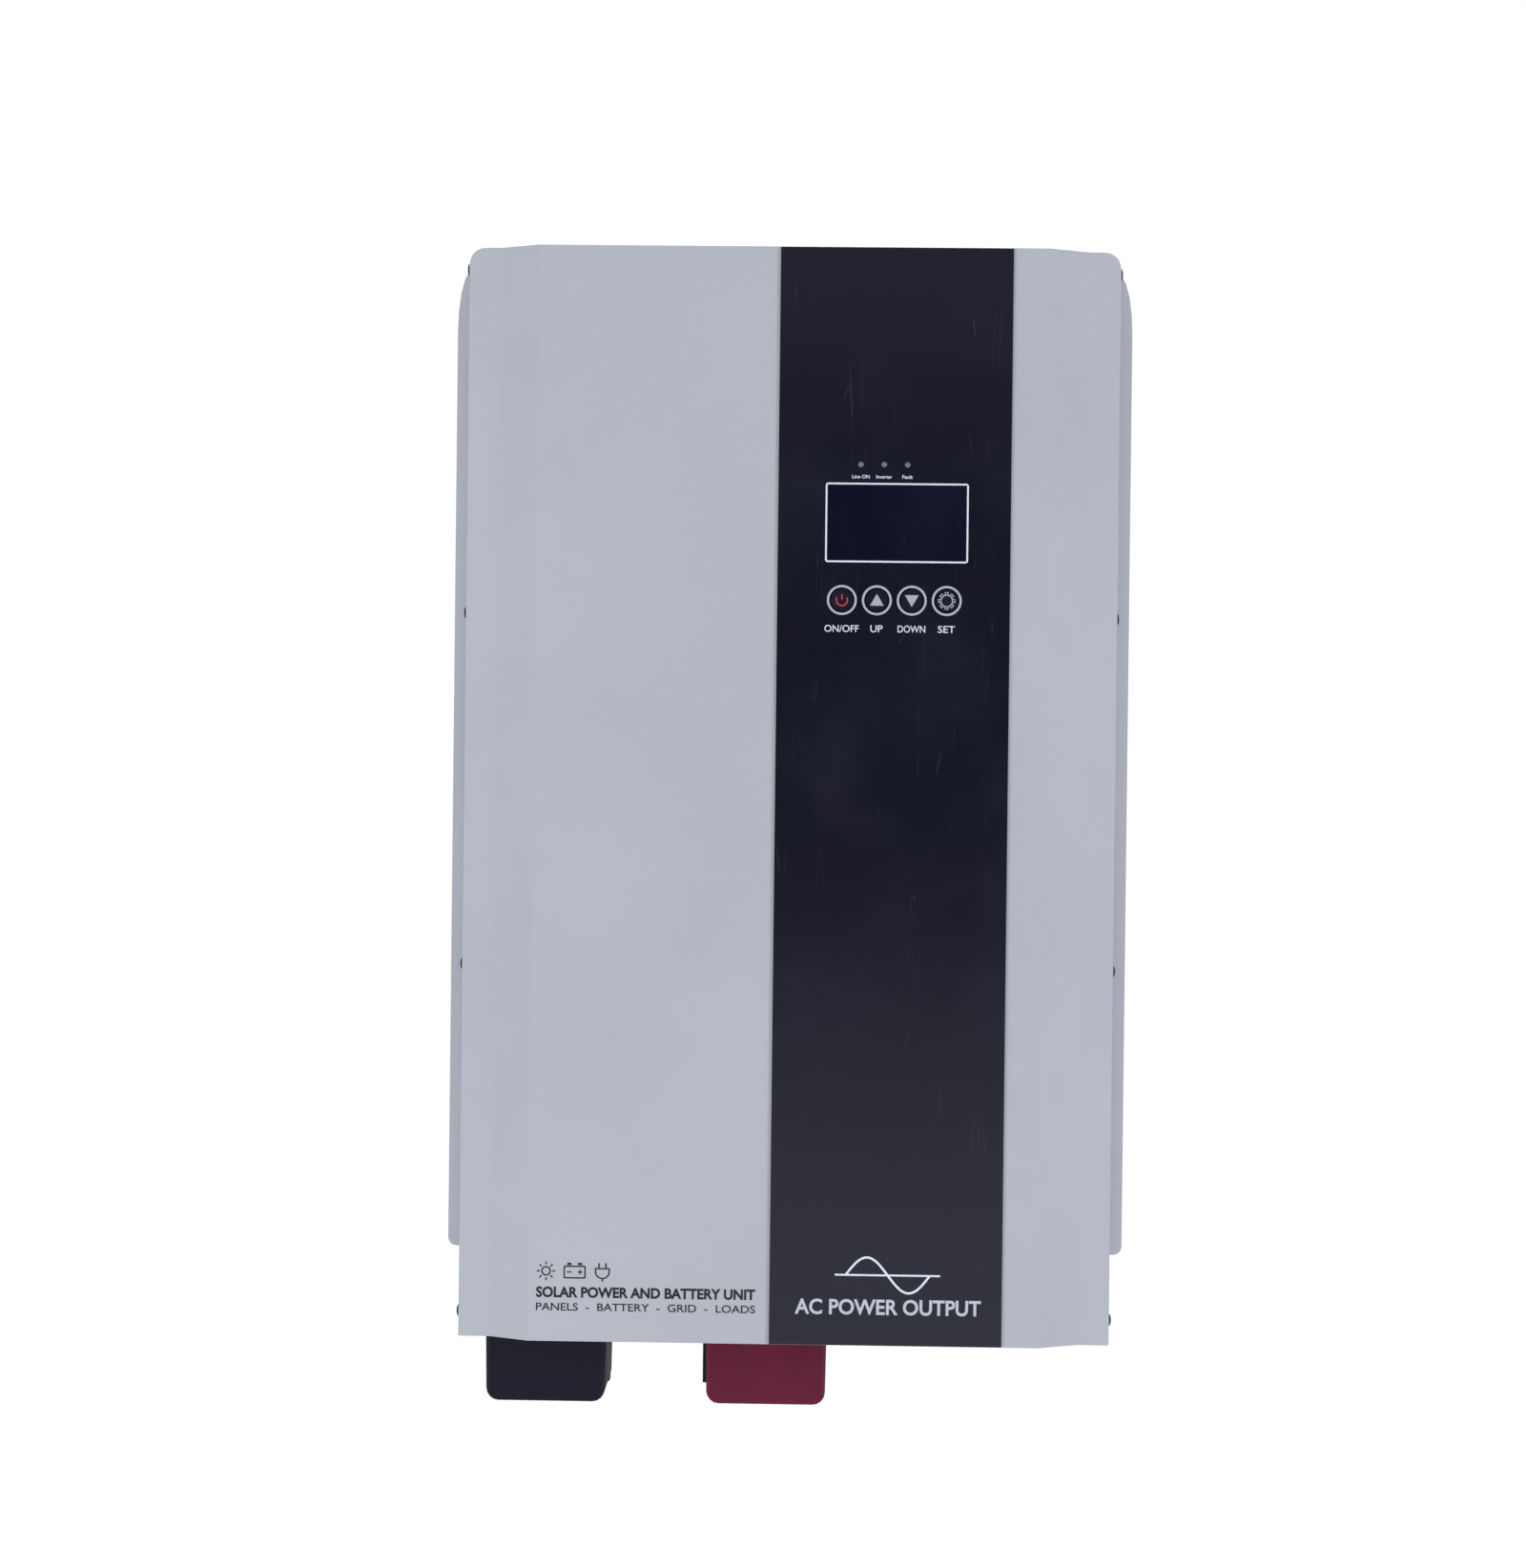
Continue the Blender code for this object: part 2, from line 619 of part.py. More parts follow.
# ---------------------------------------------------------------- inside the case
def transformer():
    """A wound toroid held on the back plate by a pad, a dished washer and one long bolt."""
    rear = BACK_INSIDE - GAP
    at = (TOROID_X, rear, TOROID_Z)
    pad = [(0.100, PAD_THICK), (0.100, 0), (0.025, 0), (0.025, PAD_THICK)]
    turned("transformer_pad", RUBBER, pad, at, "front", sides=24, ring=True)

    low = PAD_THICK + GAP
    middle = ((TOROID_RADIUS + TOROID_BORE) / 2, low + TOROID_DEPTH / 2)
    half = ((TOROID_RADIUS - TOROID_BORE) / 2, TOROID_DEPTH / 2)
    winding = []
    for point in rectangle(middle, (2 * half[0], 2 * half[1]), 0.024, 2):
        winding.append(point)
    winding.reverse()
    turned("transformer_winding", WINDING, winding, at, "front", sides=32, ring=True)

    front = low + TOROID_DEPTH + GAP
    washer = [
        (0.060, front + WASHER_THICK),
        (0.060, front),
        (0.0066, front),
        (0.0066, front + WASHER_THICK),
    ]
    turned("transformer_washer", STEEL, washer, at, "front", sides=24, ring=True)

    head = front + WASHER_THICK + GAP
    cap, shank = 0.0095, 0.0060
    bolt = [(0, head + 0.007), (cap, head + 0.007), (cap, head), (shank, head), (shank, GAP), (0, GAP)]
    turned("transformer_bolt", STEEL, bolt, at, "front", sides=6)


def heatsinks():
    """Finned extrusions: the fins reach to the back plate, and the board lies on the base."""
    fin_root = BACK_INSIDE - GAP - HEATSINK_FIN
    base_front = fin_root - HEATSINK_BASE
    width = POWER_HALF - 0.020
    pitch = (width - FIN_THICK) / (FIN_COUNT - 1)
    for name, left in (("heatsink_left", -POWER_HALF), ("heatsink_right", 0.020)):
        outline = [(left, base_front), (left + width, base_front)]
        for fin in reversed(range(FIN_COUNT)):
            x = left + fin * pitch
            outline += [(x + FIN_THICK, fin_root), (x + FIN_THICK, fin_root + HEATSINK_FIN)]
            outline += [(x, fin_root + HEATSINK_FIN), (x, fin_root)]
        # The outermost fins share their outer faces with the base, so those root points go.
        outline = [p for p in outline if p not in ((left, fin_root), (left + width, fin_root))]
        extruded(name, ALUMINIUM, [outline], "up", POWER_LOW_Z + 0.005, POWER_HIGH_Z - 0.005)
    return base_front


def power_stage(base_front):
    board_rear = base_front - GAP
    board_front = board_rear - BOARD_THICK
    low, high = (-POWER_HALF, board_front, POWER_LOW_Z), (POWER_HALF, board_rear, POWER_HIGH_Z)
    box("power_board", BOARD_GREEN, low, high)

    on_board = board_front - GAP
    for number in range(4):
        x = -0.120 + number * 0.080
        can = [(0, 0.050), (0.0165, 0.050), (0.0175, 0.0485), (0.0175, 0), (0, 0)]
        at = (x, on_board, POWER_LOW_Z + 0.034)
        turned(f"capacitor_{number + 1}", CAN_SLEEVE, can, at, "front", sides=20)

    core = list(reversed(rectangle((0.022, 0.0145), (0.018, 0.029), 0.006, 2)))
    turned("filter_choke", WINDING, core, (-0.090, on_board, 0.190), "front", sides=20, ring=True)

    for name, left in (("charger_board", -0.160), ("control_board", 0.010)):
        size = (0.150, 0.165)
        low_z = 0.112
        low = (left, UPPER_BOARD_Y, low_z)
        high = (left + size[0], UPPER_BOARD_Y + BOARD_THICK, low_z + size[1])
        board = box(name, BOARD_GREEN, low, high)
        posts = bmesh.new()
        for x in (left + 0.007, left + size[0] - 0.007):
            for z in (low_z + 0.007, low_z + size[1] - 0.007):
                add_rod(posts, 1, (x, z), 0.003, UPPER_BOARD_Y + BOARD_THICK / 2, on_board, sides=8)
        boolean(board, helper(name + "_posts", posts), "UNION")


def fans():
    """Axial fans in the left wall: a square frame with struts on its inner side, and a bladed rotor."""
    outer = -(WALL_INSIDE - GAP)
    inner = outer + FAN_DEPTH
    for name, z in FAN_HEIGHTS.items():
        outlines = [rectangle((FAN_Y, z), (FAN_SIZE, FAN_SIZE), 0.006), circle((FAN_Y, z), FAN_BORE)]
        frame = extruded(f"fan_frame_{name}", BLACK_PLASTIC, outlines, "side", outer, inner)
        reach = FAN_BORE + 0.0008
        for number, (wide, tall) in enumerate(((reach, 0.0025), (0.0025, reach))):
            bar = bmesh.new()
            low = (inner - STRUT_THICK - 0.0002 * number, FAN_Y - wide, z - tall)
            high = (inner - 0.0001 - 0.0002 * number, FAN_Y + wide, z + tall)
            add_box(bar, low, high)
            boolean(frame, helper(f"fan_strut_{name}_{number + 1}", bar), "UNION")
        disc = bmesh.new()
        add_rod(disc, 0, (FAN_Y, z), HUB_RADIUS, inner - STRUT_THICK - 0.0006, inner, sides=20)
        boolean(frame, helper(f"fan_motor_{name}", disc), "UNION")

        length = FAN_DEPTH - STRUT_THICK - 0.0030
        start = outer + 0.0012
        edge = 0.001
        hub = [(0, length), (HUB_RADIUS - edge, length), (HUB_RADIUS, length - edge), (HUB_RADIUS, 0), (0, 0)]
        rotor = turned(f"fan_rotor_{name}", BLACK_PLASTIC, hub, (start, FAN_Y, z), "right", sides=28)
        blades = bmesh.new()
        for number in range(FAN_BLADES):
            blade = bmesh.ops.create_cube(blades, size=1)["verts"]
            span = (HUB_RADIUS - 0.002, BLADE_TIP)
            bmesh.ops.scale(blades, vec=(span[1] - span[0], 0.014, 0.0014), verts=blade)
            pitch = Matrix.Rotation(math.radians(38), 4, "X")
            out = Matrix.Translation((sum(span) / 2, 0, length / 2))
            around = Matrix.Rotation(2 * math.pi * number / FAN_BLADES, 4, "Z")
            bmesh.ops.transform(blades, matrix=around @ out @ pitch, verts=blade)
        tool = helper(f"fan_blades_{name}", blades)
        tool.location = rotor.location
        tool.rotation_euler = rotor.rotation_euler
        boolean(rotor, tool, "UNION")


# ---------------------------------------------------------------- connections underneath
def connection_panel():
    """The plate that closes the case below, recessed behind the cover's skirt."""
    side = WALL_INSIDE - GAP
    shape = bmesh.new()
    low = (-side, CHASSIS_FRONT + 0.002, CONNECT_Z)
    add_box(shape, low, (side, BACK_INSIDE - GAP, CONNECT_Z + CONNECT_LIP))
    shape.normal_update()
    drop_faces(shape, lambda face: face.normal.z > 0.9)
    panel = shell("connection_panel", CASE_PAINT, shape, SHEET)

    cuts = bmesh.new()
    ends = (CONNECT_Z - 0.003, CONNECT_TOP + 0.003)
    for item in (BREAKER, SWITCH, PORTS):
        half = (item["width"] / 2 + GAP, item["length"] / 2 + GAP)
        low = (item["x"] - half[0], item["y"] - half[1], ends[0])
        add_box(cuts, low, (item["x"] + half[0], item["y"] + half[1], ends[1]))
    for x in GLANDS.values():
        add_rod(cuts, 2, (x, GLAND_Y), GLAND_THREAD + GAP, *ends, sides=20)
    add_rod(cuts, 2, GROUND, 0.0033, *ends, sides=10)
    for row in range(5):
        y = -0.190 + row * 0.011
        add_box(cuts, (-0.170, y, ends[0]), (-0.010, y + 0.005, ends[1]))
    boolean(panel, helper("panel_cuts", cuts), "DIFFERENCE")


def collared_body(name, item):
    """A body that hangs in the connection panel: its collar meets the panel's underside."""
    half = item["width"] / 2
    wide = half + 0.003
    low = CONNECT_Z - GAP - COLLAR
    top = CONNECT_TOP + item["tall"]
    # The collar is below the panel, and the body goes up through the cut-out.
    outline = [
        (item["x"] - wide, low),
        (item["x"] + wide, low),
        (item["x"] + wide, low + COLLAR),
        (item["x"] + half, low + COLLAR),
        (item["x"] + half, top),
        (item["x"] - half, top),
        (item["x"] - half, low + COLLAR),
        (item["x"] - wide, low + COLLAR),
    ]
    ends = (item["y"] - item["length"] / 2, item["y"] + item["length"] / 2)
    return extruded(name, BLACK_PLASTIC, [outline], "front", *ends), low


def spun(outline, degrees):
    """The outline, in (y, z), turned about its own zero."""
    a = math.radians(degrees)
    return [(y * math.cos(a) - z * math.sin(a), y * math.sin(a) + z * math.cos(a)) for y, z in outline]


def breaker():
    """A supply breaker with a lever on an axle across its pocket."""
    body, low = collared_body("breaker_body", BREAKER)
    pocket = bmesh.new()
    half = (0.0045, 0.013)
    add_box(
        pocket,
        (BREAKER["x"] - half[0], BREAKER["y"] - half[1], low - 0.002),
        (BREAKER["x"] + half[0], BREAKER["y"] + half[1], low + 0.011),
    )
    boolean(body, helper("breaker_pocket", pocket), "DIFFERENCE")

    pivot_z = low + 0.005
    barrel, reach, tip = 0.0045, 0.0150, 0.0020
    # Drawn about its axle, leaning towards the wall.
    outline = []
    for step in range(11):
        a = math.radians(-30 + 240 * step / 10)
        outline.append((barrel * math.cos(a), barrel * math.sin(a)))
    outline += [(-tip, -reach), (tip, -reach)]
    mesh = extruded_mesh("breaker_lever", [spun(outline, LEVER_LEAN)], 2 * (half[0] - GAP))
    place("breaker_lever", mesh, BLACK_PLASTIC, (BREAKER["x"], BREAKER["y"], pivot_z), "side")


def rocker_switch():
    """A rocker switch: the rocker is a shallow V that turns on its middle."""
    body, low = collared_body("power_switch", SWITCH)
    pocket = bmesh.new()
    half = (SWITCH["width"] / 2 - 0.0015, SWITCH["length"] / 2 - 0.0015)
    add_box(
        pocket,
        (SWITCH["x"] - half[0], SWITCH["y"] - half[1], low - 0.002),
        (SWITCH["x"] + half[0], SWITCH["y"] + half[1], low + 0.009),
    )
    boolean(body, helper("switch_pocket", pocket), "DIFFERENCE")

    pivot_z = low + 0.003
    arm, rise, thick = half[1] - 0.0012, 0.0022, 0.0040
    # Two flat arms that meet at the axle; it rests tipped, with its front arm pressed in.
    outline = [(-arm, -rise), (0, 0), (arm, -rise), (arm, -rise + thick), (0, thick), (-arm, -rise + thick)]
    mesh = extruded_mesh("switch_rocker", [spun(outline, -ROCKER_TIP)], 2 * (half[0] - GAP))
    place("switch_rocker", mesh, BLACK_PLASTIC, (SWITCH["x"], SWITCH["y"], pivot_z), "side")


def communication_ports():
    block, low = collared_body("communication_ports", PORTS)
    sockets = bmesh.new()
    for x in (PORTS["x"] - 0.0088, PORTS["x"] + 0.0088):
        corner = (x - 0.0060, PORTS["y"] - 0.0045, low - 0.002)
        add_box(sockets, corner, (x + 0.0060, PORTS["y"] + 0.0045, low + 0.013))
    boolean(block, helper("port_sockets", sockets), "DIFFERENCE")


def cable_glands():
    """Glands whose thread goes up through the panel, with a lock nut above and a dome nut below."""
    under = -GAP  # heights run from the panel's underside
    above = SHEET + GAP
    profile = [
        (GLAND_THREAD, 0.016),
        (GLAND_THREAD, above + 0.006),
        (GLAND_NUT, above + 0.006),
        (GLAND_NUT, above),
        (GLAND_THREAD, above),
        (GLAND_THREAD, under),
        (GLAND_NUT, under),
        (GLAND_NUT, under - 0.014),
        (0.0190, under - 0.030),
        (0.0140, under - 0.038),
        (GLAND_CABLE, under - 0.038),
        (GLAND_CABLE, 0.016),
    ]
    for name, x in GLANDS.items():
        at = (x, GLAND_Y, CONNECT_Z)
        turned(f"cable_gland_{name}", BLACK_PLASTIC, profile, at, "up", sides=20, ring=True)


def ground_bolt():
    above = SHEET + GAP
    profile = [
        (0, above + 0.004),
        (0.0055, above + 0.004),
        (0.0055, above),
        (0.0030, above),
        (0.0030, -0.016),
        (0, -0.016),
    ]
    turned("ground_bolt", BRASS, profile, (*GROUND, CONNECT_Z), "up", sides=12)


def terminal_blocks():
    """Screw terminal blocks that stand on the connection panel, with a well for each wire."""
    for name, left, wells in (("terminal_block_ac", 0.045, 6), ("terminal_block_pv", -0.060, 4)):
        pitch = 0.014
        low = (left, -0.118, CONNECT_TOP + GAP)
        high = (left + wells * pitch + 0.002, -0.088, CONNECT_TOP + 0.024)
        block = box(name, BLACK_PLASTIC, low, high)
        cuts = bmesh.new()
        for well in range(wells):
            x = left + 0.002 + well * pitch
            corner = (x, low[1] + 0.003, high[2] - 0.016)
            add_box(cuts, corner, (x + pitch - 0.002, high[1] - 0.003, high[2] + 0.002))
        boolean(block, helper(name + "_wells", cuts), "DIFFERENCE")


def battery_terminals():
    """Each pole has an insulating bracket, a brass stud, a nut and a cover that pulls off forwards."""
    for pole, x in TERMINAL_X.items():
        half = TERMINAL_WIDTH / 2
        rear = BASE_FRONT + BASE_THICK
        foot = 0.008
        outline = [
            (BASE_FRONT, TERMINAL_BOTTOM),
            (rear, TERMINAL_BOTTOM),
            (rear, TERMINAL_TOP - foot),
            (rear + 0.025, TERMINAL_TOP - foot),
            (rear + 0.025, TERMINAL_TOP),
            (BASE_FRONT, TERMINAL_TOP),
        ]
        ends = (x + BASE_OFFSET - half, x + BASE_OFFSET + half)
        extruded(f"battery_base_{pole}", BLACK_PLASTIC, [outline], "side", *ends)

        seat = GAP + SEAT_THICK
        stud = [
            (0, seat + STUD_LENGTH),
            (STUD_RADIUS - 0.0008, seat + STUD_LENGTH),
            (STUD_RADIUS, seat + STUD_LENGTH - 0.001),
            (STUD_RADIUS, seat),
            (SEAT_RADIUS, seat),
            (SEAT_RADIUS, GAP),
            (0, GAP),
        ]
        turned(f"battery_stud_{pole}", BRASS, stud, (x, BASE_FRONT, STUD_Z), "front", sides=20)

        rear_of_nut = BASE_FRONT - seat - LUG_THICK
        nut = [circle((x, STUD_Z), NUT_RADIUS, 6), circle((x, STUD_Z), STUD_RADIUS + GAP, 20)]
        extruded(f"battery_nut_{pole}", STEEL, nut, "front", rear_of_nut - NUT_THICK, rear_of_nut)

        shape = bmesh.new()
        low = (x - half, TERMINAL_FRONT, TERMINAL_BOTTOM)
        add_box(shape, low, (x + half, BASE_FRONT - GAP, TERMINAL_TOP - 0.001))
        shape.normal_update()
        drop_faces(shape, lambda face: face.normal.y > 0.9)
        round_edges(
            shape,
            TERMINAL_CORNER,
            4,
            lambda edge: along(edge, 1) and edge.verts[0].co.z < TERMINAL_BOTTOM + 0.001,
        )
        round_edges(shape, 0.0025, 2, is_sharp)
        finish = RED_PLASTIC if pole == "positive" else BLACK_PLASTIC
        cover = shell(f"battery_cover_{pole}", finish, shape, TERMINAL_WALL)
        hole = bmesh.new()
        add_rod(hole, 2, (x, -0.106), 0.011, TERMINAL_BOTTOM - 0.003, TERMINAL_BOTTOM + 0.006, sides=20)
        boolean(cover, helper(f"cable_hole_{pole}", hole), "DIFFERENCE")


def main():
    holes = screw_holes()
    front_cover(holes)
    rear_chassis(holes)
    side_louvre("side_louvre_left", -1)
    side_louvre("side_louvre_right", 1)
    cover_screws()
    control_panel()
    display_electronics()
    buttons()
    transformer()
    power_stage(heatsinks())
    fans()
    connection_panel()
    breaker()
    rocker_switch()
    communication_ports()
    cable_glands()
    ground_bolt()
    terminal_blocks()
    battery_terminals()
    for obj in PARTS.objects:
        obj.data.shade_smooth()
        obj.data.set_sharp_from_angle(angle=math.radians(35))


main()
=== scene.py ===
"""The looks of a wall-hung solar inverter-charger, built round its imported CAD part."""

import math

import bmesh
import bpy
from mathutils import Matrix, Vector


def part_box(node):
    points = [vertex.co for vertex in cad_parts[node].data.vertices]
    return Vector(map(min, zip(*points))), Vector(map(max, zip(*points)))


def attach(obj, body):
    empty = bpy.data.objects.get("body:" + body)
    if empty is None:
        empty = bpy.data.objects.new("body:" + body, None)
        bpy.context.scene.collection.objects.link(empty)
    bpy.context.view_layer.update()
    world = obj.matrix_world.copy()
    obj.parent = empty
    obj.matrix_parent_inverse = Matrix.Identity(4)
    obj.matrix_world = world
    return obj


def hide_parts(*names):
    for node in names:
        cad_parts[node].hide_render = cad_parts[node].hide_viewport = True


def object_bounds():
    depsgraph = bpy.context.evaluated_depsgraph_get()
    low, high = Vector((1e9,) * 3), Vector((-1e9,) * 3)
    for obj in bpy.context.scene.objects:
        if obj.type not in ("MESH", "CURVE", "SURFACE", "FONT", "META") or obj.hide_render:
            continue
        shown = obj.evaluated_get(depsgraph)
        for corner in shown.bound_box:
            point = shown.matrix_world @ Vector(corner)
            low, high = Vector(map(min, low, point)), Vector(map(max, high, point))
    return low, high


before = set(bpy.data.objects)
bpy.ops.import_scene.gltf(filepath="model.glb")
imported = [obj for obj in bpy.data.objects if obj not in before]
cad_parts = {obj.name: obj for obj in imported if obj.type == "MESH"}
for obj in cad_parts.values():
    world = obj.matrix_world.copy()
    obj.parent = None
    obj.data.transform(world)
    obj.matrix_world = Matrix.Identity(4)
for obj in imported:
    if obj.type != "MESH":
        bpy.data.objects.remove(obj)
CAD_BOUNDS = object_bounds()

# ---------------------------------------------------------------- driving values
# Lengths are in metres, angles in degrees and powers in watts. The lens and sensor are in millimetres.

CAMERA_PLACE = (0.0161, -1.885, 0.0151)
CAMERA_YAW = -1.09
CAMERA_PITCH = -0.272
CAMERA_ROLL = 0.65
LENS = 62.91241
SENSOR = 36.0

FLOOR_DROP = 1.25
FLOOR_RADIUS = 3.4
# The room's colour, and how strongly it glows: all round, to the camera, and in front at three heights
ROOM_COLOUR = (0.86, 0.90, 1.0)
ROOM_GLOW = 0.42
SEEN_ROOM_GLOW = 1.05
FRONT_GLOW = 0.02
FRONT_LOW_GLOW = 1.10
FRONT_HIGH_GLOW = 0.64
# Directions, as parts of a unit vector, between which the glow changes
FRONT_ZONE = (-0.62, -0.84)
LOW_ZONE = (-0.055, -0.14)
HIGH_ZONE = (0.09, 0.22)

LIGHTS_AIM = (0.0, -0.2, 0.0)
# name, place, width, height, power, colour
SOFTBOXES = (
    ("softbox_left", (-2.0, -2.0, -0.10), 1.6, 2.2, 31, (1.0, 0.99, 0.98)),
    ("softbox_right", (2.1, -1.9, -0.15), 1.6, 2.2, 31, (1.0, 1.0, 1.0)),
    ("softbox_top", (0.0, -0.6, 2.0), 1.6, 1.2, 10, (1.0, 1.0, 1.0)),
    ("softbox_low", (0.0, -1.6, -1.3), 1.6, 0.8, 3.5, (1.0, 1.0, 1.0)),
    ("softbox_back", (0.8, 2.2, 1.2), 2.0, 2.0, 40, (1.0, 1.0, 1.0)),
)

# Printing: how thick the ink is, how far it stands off the surface, and how far off another line
INK_THICKNESS = 0.00010
INK_STAND_OFF = 0.00006
INK_OVERLAP = 0.00002

# Words under the keys and lamps: each with the end of its node's name, and its width
KEY_WORDS = (("ON/OFF", "power", 0.0209), ("UP", "up", 0.0074), ("DOWN", "down", 0.0168),
             ("SET", "set", 0.0104))
KEY_WORD_DROP = 0.0195
KEY_WORD_HEIGHT = 0.0043
LAMP_WORDS = (("Line ON", "line", 0.0106), ("Inverter", "inverter", 0.0097), ("Fault", "fault", 0.0063))
LAMP_WORD_DROP = 0.0086
LAMP_WORD_HEIGHT = 0.0022

# Display, keys and lamps
LINE_GAP = 0.0004
LINE_WIDTH = 0.0010
KEY_RING_RADII = (0.0091, 0.0078)
LAMP_RADIUS = 0.0020
LAMP_HEIGHT = 0.0011
LAMP_DEPTH = 0.0040
LAMP_PROUD = 0.0001

# Cover screws
FLANGE_OUTSIDE = 0.2003  # from the middle to the outside of the cover's side flange
SCREW_HEAD = 0.0037
WASHER_RADIUS = 0.0050
WASHER_THICK = 0.0005

# Hoods and fans
HOOD_CURVE = 0.039
HOOD_MARGIN = 0.030
FIRST_SLOT = 0.020
LOUVRE_ROWS = 22
LOUVRE_SLOT = 0.008
BLADE_DEPTHS = (0.0013, 0.0066)
BLADE_LIP = 0.0006
BLADE_FALL = 0.0090
BLADE_THICK = 0.00152
BLADE_END_GAP = 0.016
GUARD_RINGS = (0.010, 0.018, 0.026, 0.034)
GUARD_SPOKE = (0.0092, 0.0435)
GUARD_STAND_OFF = 0.0014

# Terminal covers
FRONT_FILLET = 0.0024
CABLE_HOLE_REACH = 0.014
HOLE_CHAMFER = 0.0006
DRAFT_START = -0.300
DRAFT = 0.0018
LARGE_FLAT = 0.0004  # square metres

# Underside and back
PORT_PITCH = 0.0176
PORT_PINS = 8
PIN_PITCH = 0.00098
PANEL_SCREW_RADIUS = 0.0034
PANEL_SCREW_HEIGHT = 0.0019
GLAND_BORE = 0.0095
BACK_FRAME = (0.250, 0.470)
BACK_FRAME_CORNER = 0.030
BACK_BAR_HEIGHT = 0.020
BACK_PRESSING = 0.0012

# ---------------------------------------------------------------- materials


class Nodes:
    """A material's node tree, with short calls for the few nodes that the surfaces here share."""

    def __init__(self, name):
        self.material = bpy.data.materials.new(name)
        self.material.use_nodes = True
        self.tree = self.material.node_tree
        self.shader = self.tree.nodes["Principled BSDF"]
        self.place = self.tree.nodes.new("ShaderNodeTexCoord").outputs["Object"]

    def add(self, kind, **values):
        node = self.tree.nodes.new(kind)
        for key, value in values.items():
            setattr(node, key, value)
        return node

    def link(self, source, target):
        self.tree.links.new(source, target)

    def set(self, **values):
        names = {"metallic": "Metallic", "roughness": "Roughness", "specular": "Specular IOR Level",
                 "coat": "Coat Weight", "coat_roughness": "Coat Roughness",
                 "transmission": "Transmission Weight", "subsurface": "Subsurface Weight"}
        for key, value in values.items():
            self.shader.inputs[names[key]].default_value = value

    def stretched(self, scale, turn=(0, 0, 0)):
        mapping = self.add("ShaderNodeMapping")
        mapping.inputs["Scale"].default_value = scale
        mapping.inputs["Rotation"].default_value = [math.radians(angle) for angle in turn]
        self.link(self.place, mapping.inputs["Vector"])
        return mapping.outputs["Vector"]

    def noise(self, scale, detail, roughness=0.5, where=None):
        node = self.add("ShaderNodeTexNoise")
        node.inputs["Scale"].default_value = scale
        node.inputs["Detail"].default_value = detail
        node.inputs["Roughness"].default_value = roughness
        self.link(where or self.place, node.inputs["Vector"])
        return node.outputs["Fac"]

    def cells(self, scale, feature="F1", where=None, output="Distance"):
        node = self.add("ShaderNodeTexVoronoi", feature=feature)
        node.inputs["Scale"].default_value = scale
        self.link(where or self.place, node.inputs["Vector"])
        return node.outputs[output]

    def ramp(self, value, low, high, start=0.0, end=1.0):
        """Carries value from the range low..high to the range start..end."""
        node = self.add("ShaderNodeMapRange")
        node.inputs["From Min"].default_value = low
        node.inputs["From Max"].default_value = high
        node.inputs["To Min"].default_value = start
        node.inputs["To Max"].default_value = end
        self.link(value, node.inputs["Value"])
        return node.outputs["Result"]

    def maths(self, operation, first, second):
        node = self.add("ShaderNodeMath", operation=operation)
        for socket, value in zip(node.inputs, (first, second)):
            if isinstance(value, (int, float)):
                socket.default_value = value
            else:
                self.link(value, socket)
        return node.outputs["Value"]

    def blend(self, amount, first, second):
        """A colour between first and second, which are colours or other blends."""
        node = self.add("ShaderNodeMix", data_type="RGBA")
        self.link(amount, node.inputs["Factor"])
        for key, value in (("A", first), ("B", second)):
            socket = [s for s in node.inputs if s.name == key and s.type == "RGBA"][0]
            if isinstance(value, tuple):
                socket.default_value = (*value, 1.0)
            else:
                self.link(value, socket)
        return [s for s in node.outputs if s.type == "RGBA"][0]

    def colour(self, source):
        self.link(source, self.shader.inputs["Base Color"])

    def roughness(self, source):
        self.link(source, self.shader.inputs["Roughness"])

    def bump(self, height, depth, strength, after=None):
        node = self.add("ShaderNodeBump")
        node.inputs["Strength"].default_value = strength
        node.inputs["Distance"].default_value = depth
        self.link(height, node.inputs["Height"])
        if after is not None:
            self.link(after, node.inputs["Normal"])
        self.link(node.outputs["Normal"], self.shader.inputs["Normal"])
        return node.outputs["Normal"]


def tint(colour, factor):
    return tuple(min(1.0, channel * factor) for channel in colour)


def powder_coat(name, colour, roughness=0.5):
    """Baked powder paint: fine orange peel, a trace of mottling, and handling marks in the gloss."""
    m = Nodes(name)
    m.set(specular=0.4)
    cloud = m.ramp(m.noise(7, 4), 0.3, 0.7)
    broad = m.blend(cloud, tint(colour, 0.965), tint(colour, 1.03))
    speckle = m.ramp(m.noise(1500, 2), 0.35, 0.7)
    m.colour(m.blend(m.maths("MULTIPLY", speckle, 0.5), broad, tint(colour, 0.94)))
    rubbed = m.ramp(m.noise(22, 5, 0.6), 0.35, 0.7, roughness - 0.05, roughness + 0.07)
    m.roughness(rubbed)
    peel = m.bump(m.noise(650, 3, 0.55), 0.00035, 0.30)
    m.bump(m.noise(2600, 1), 0.0001, 0.25, after=peel)
    return m.material


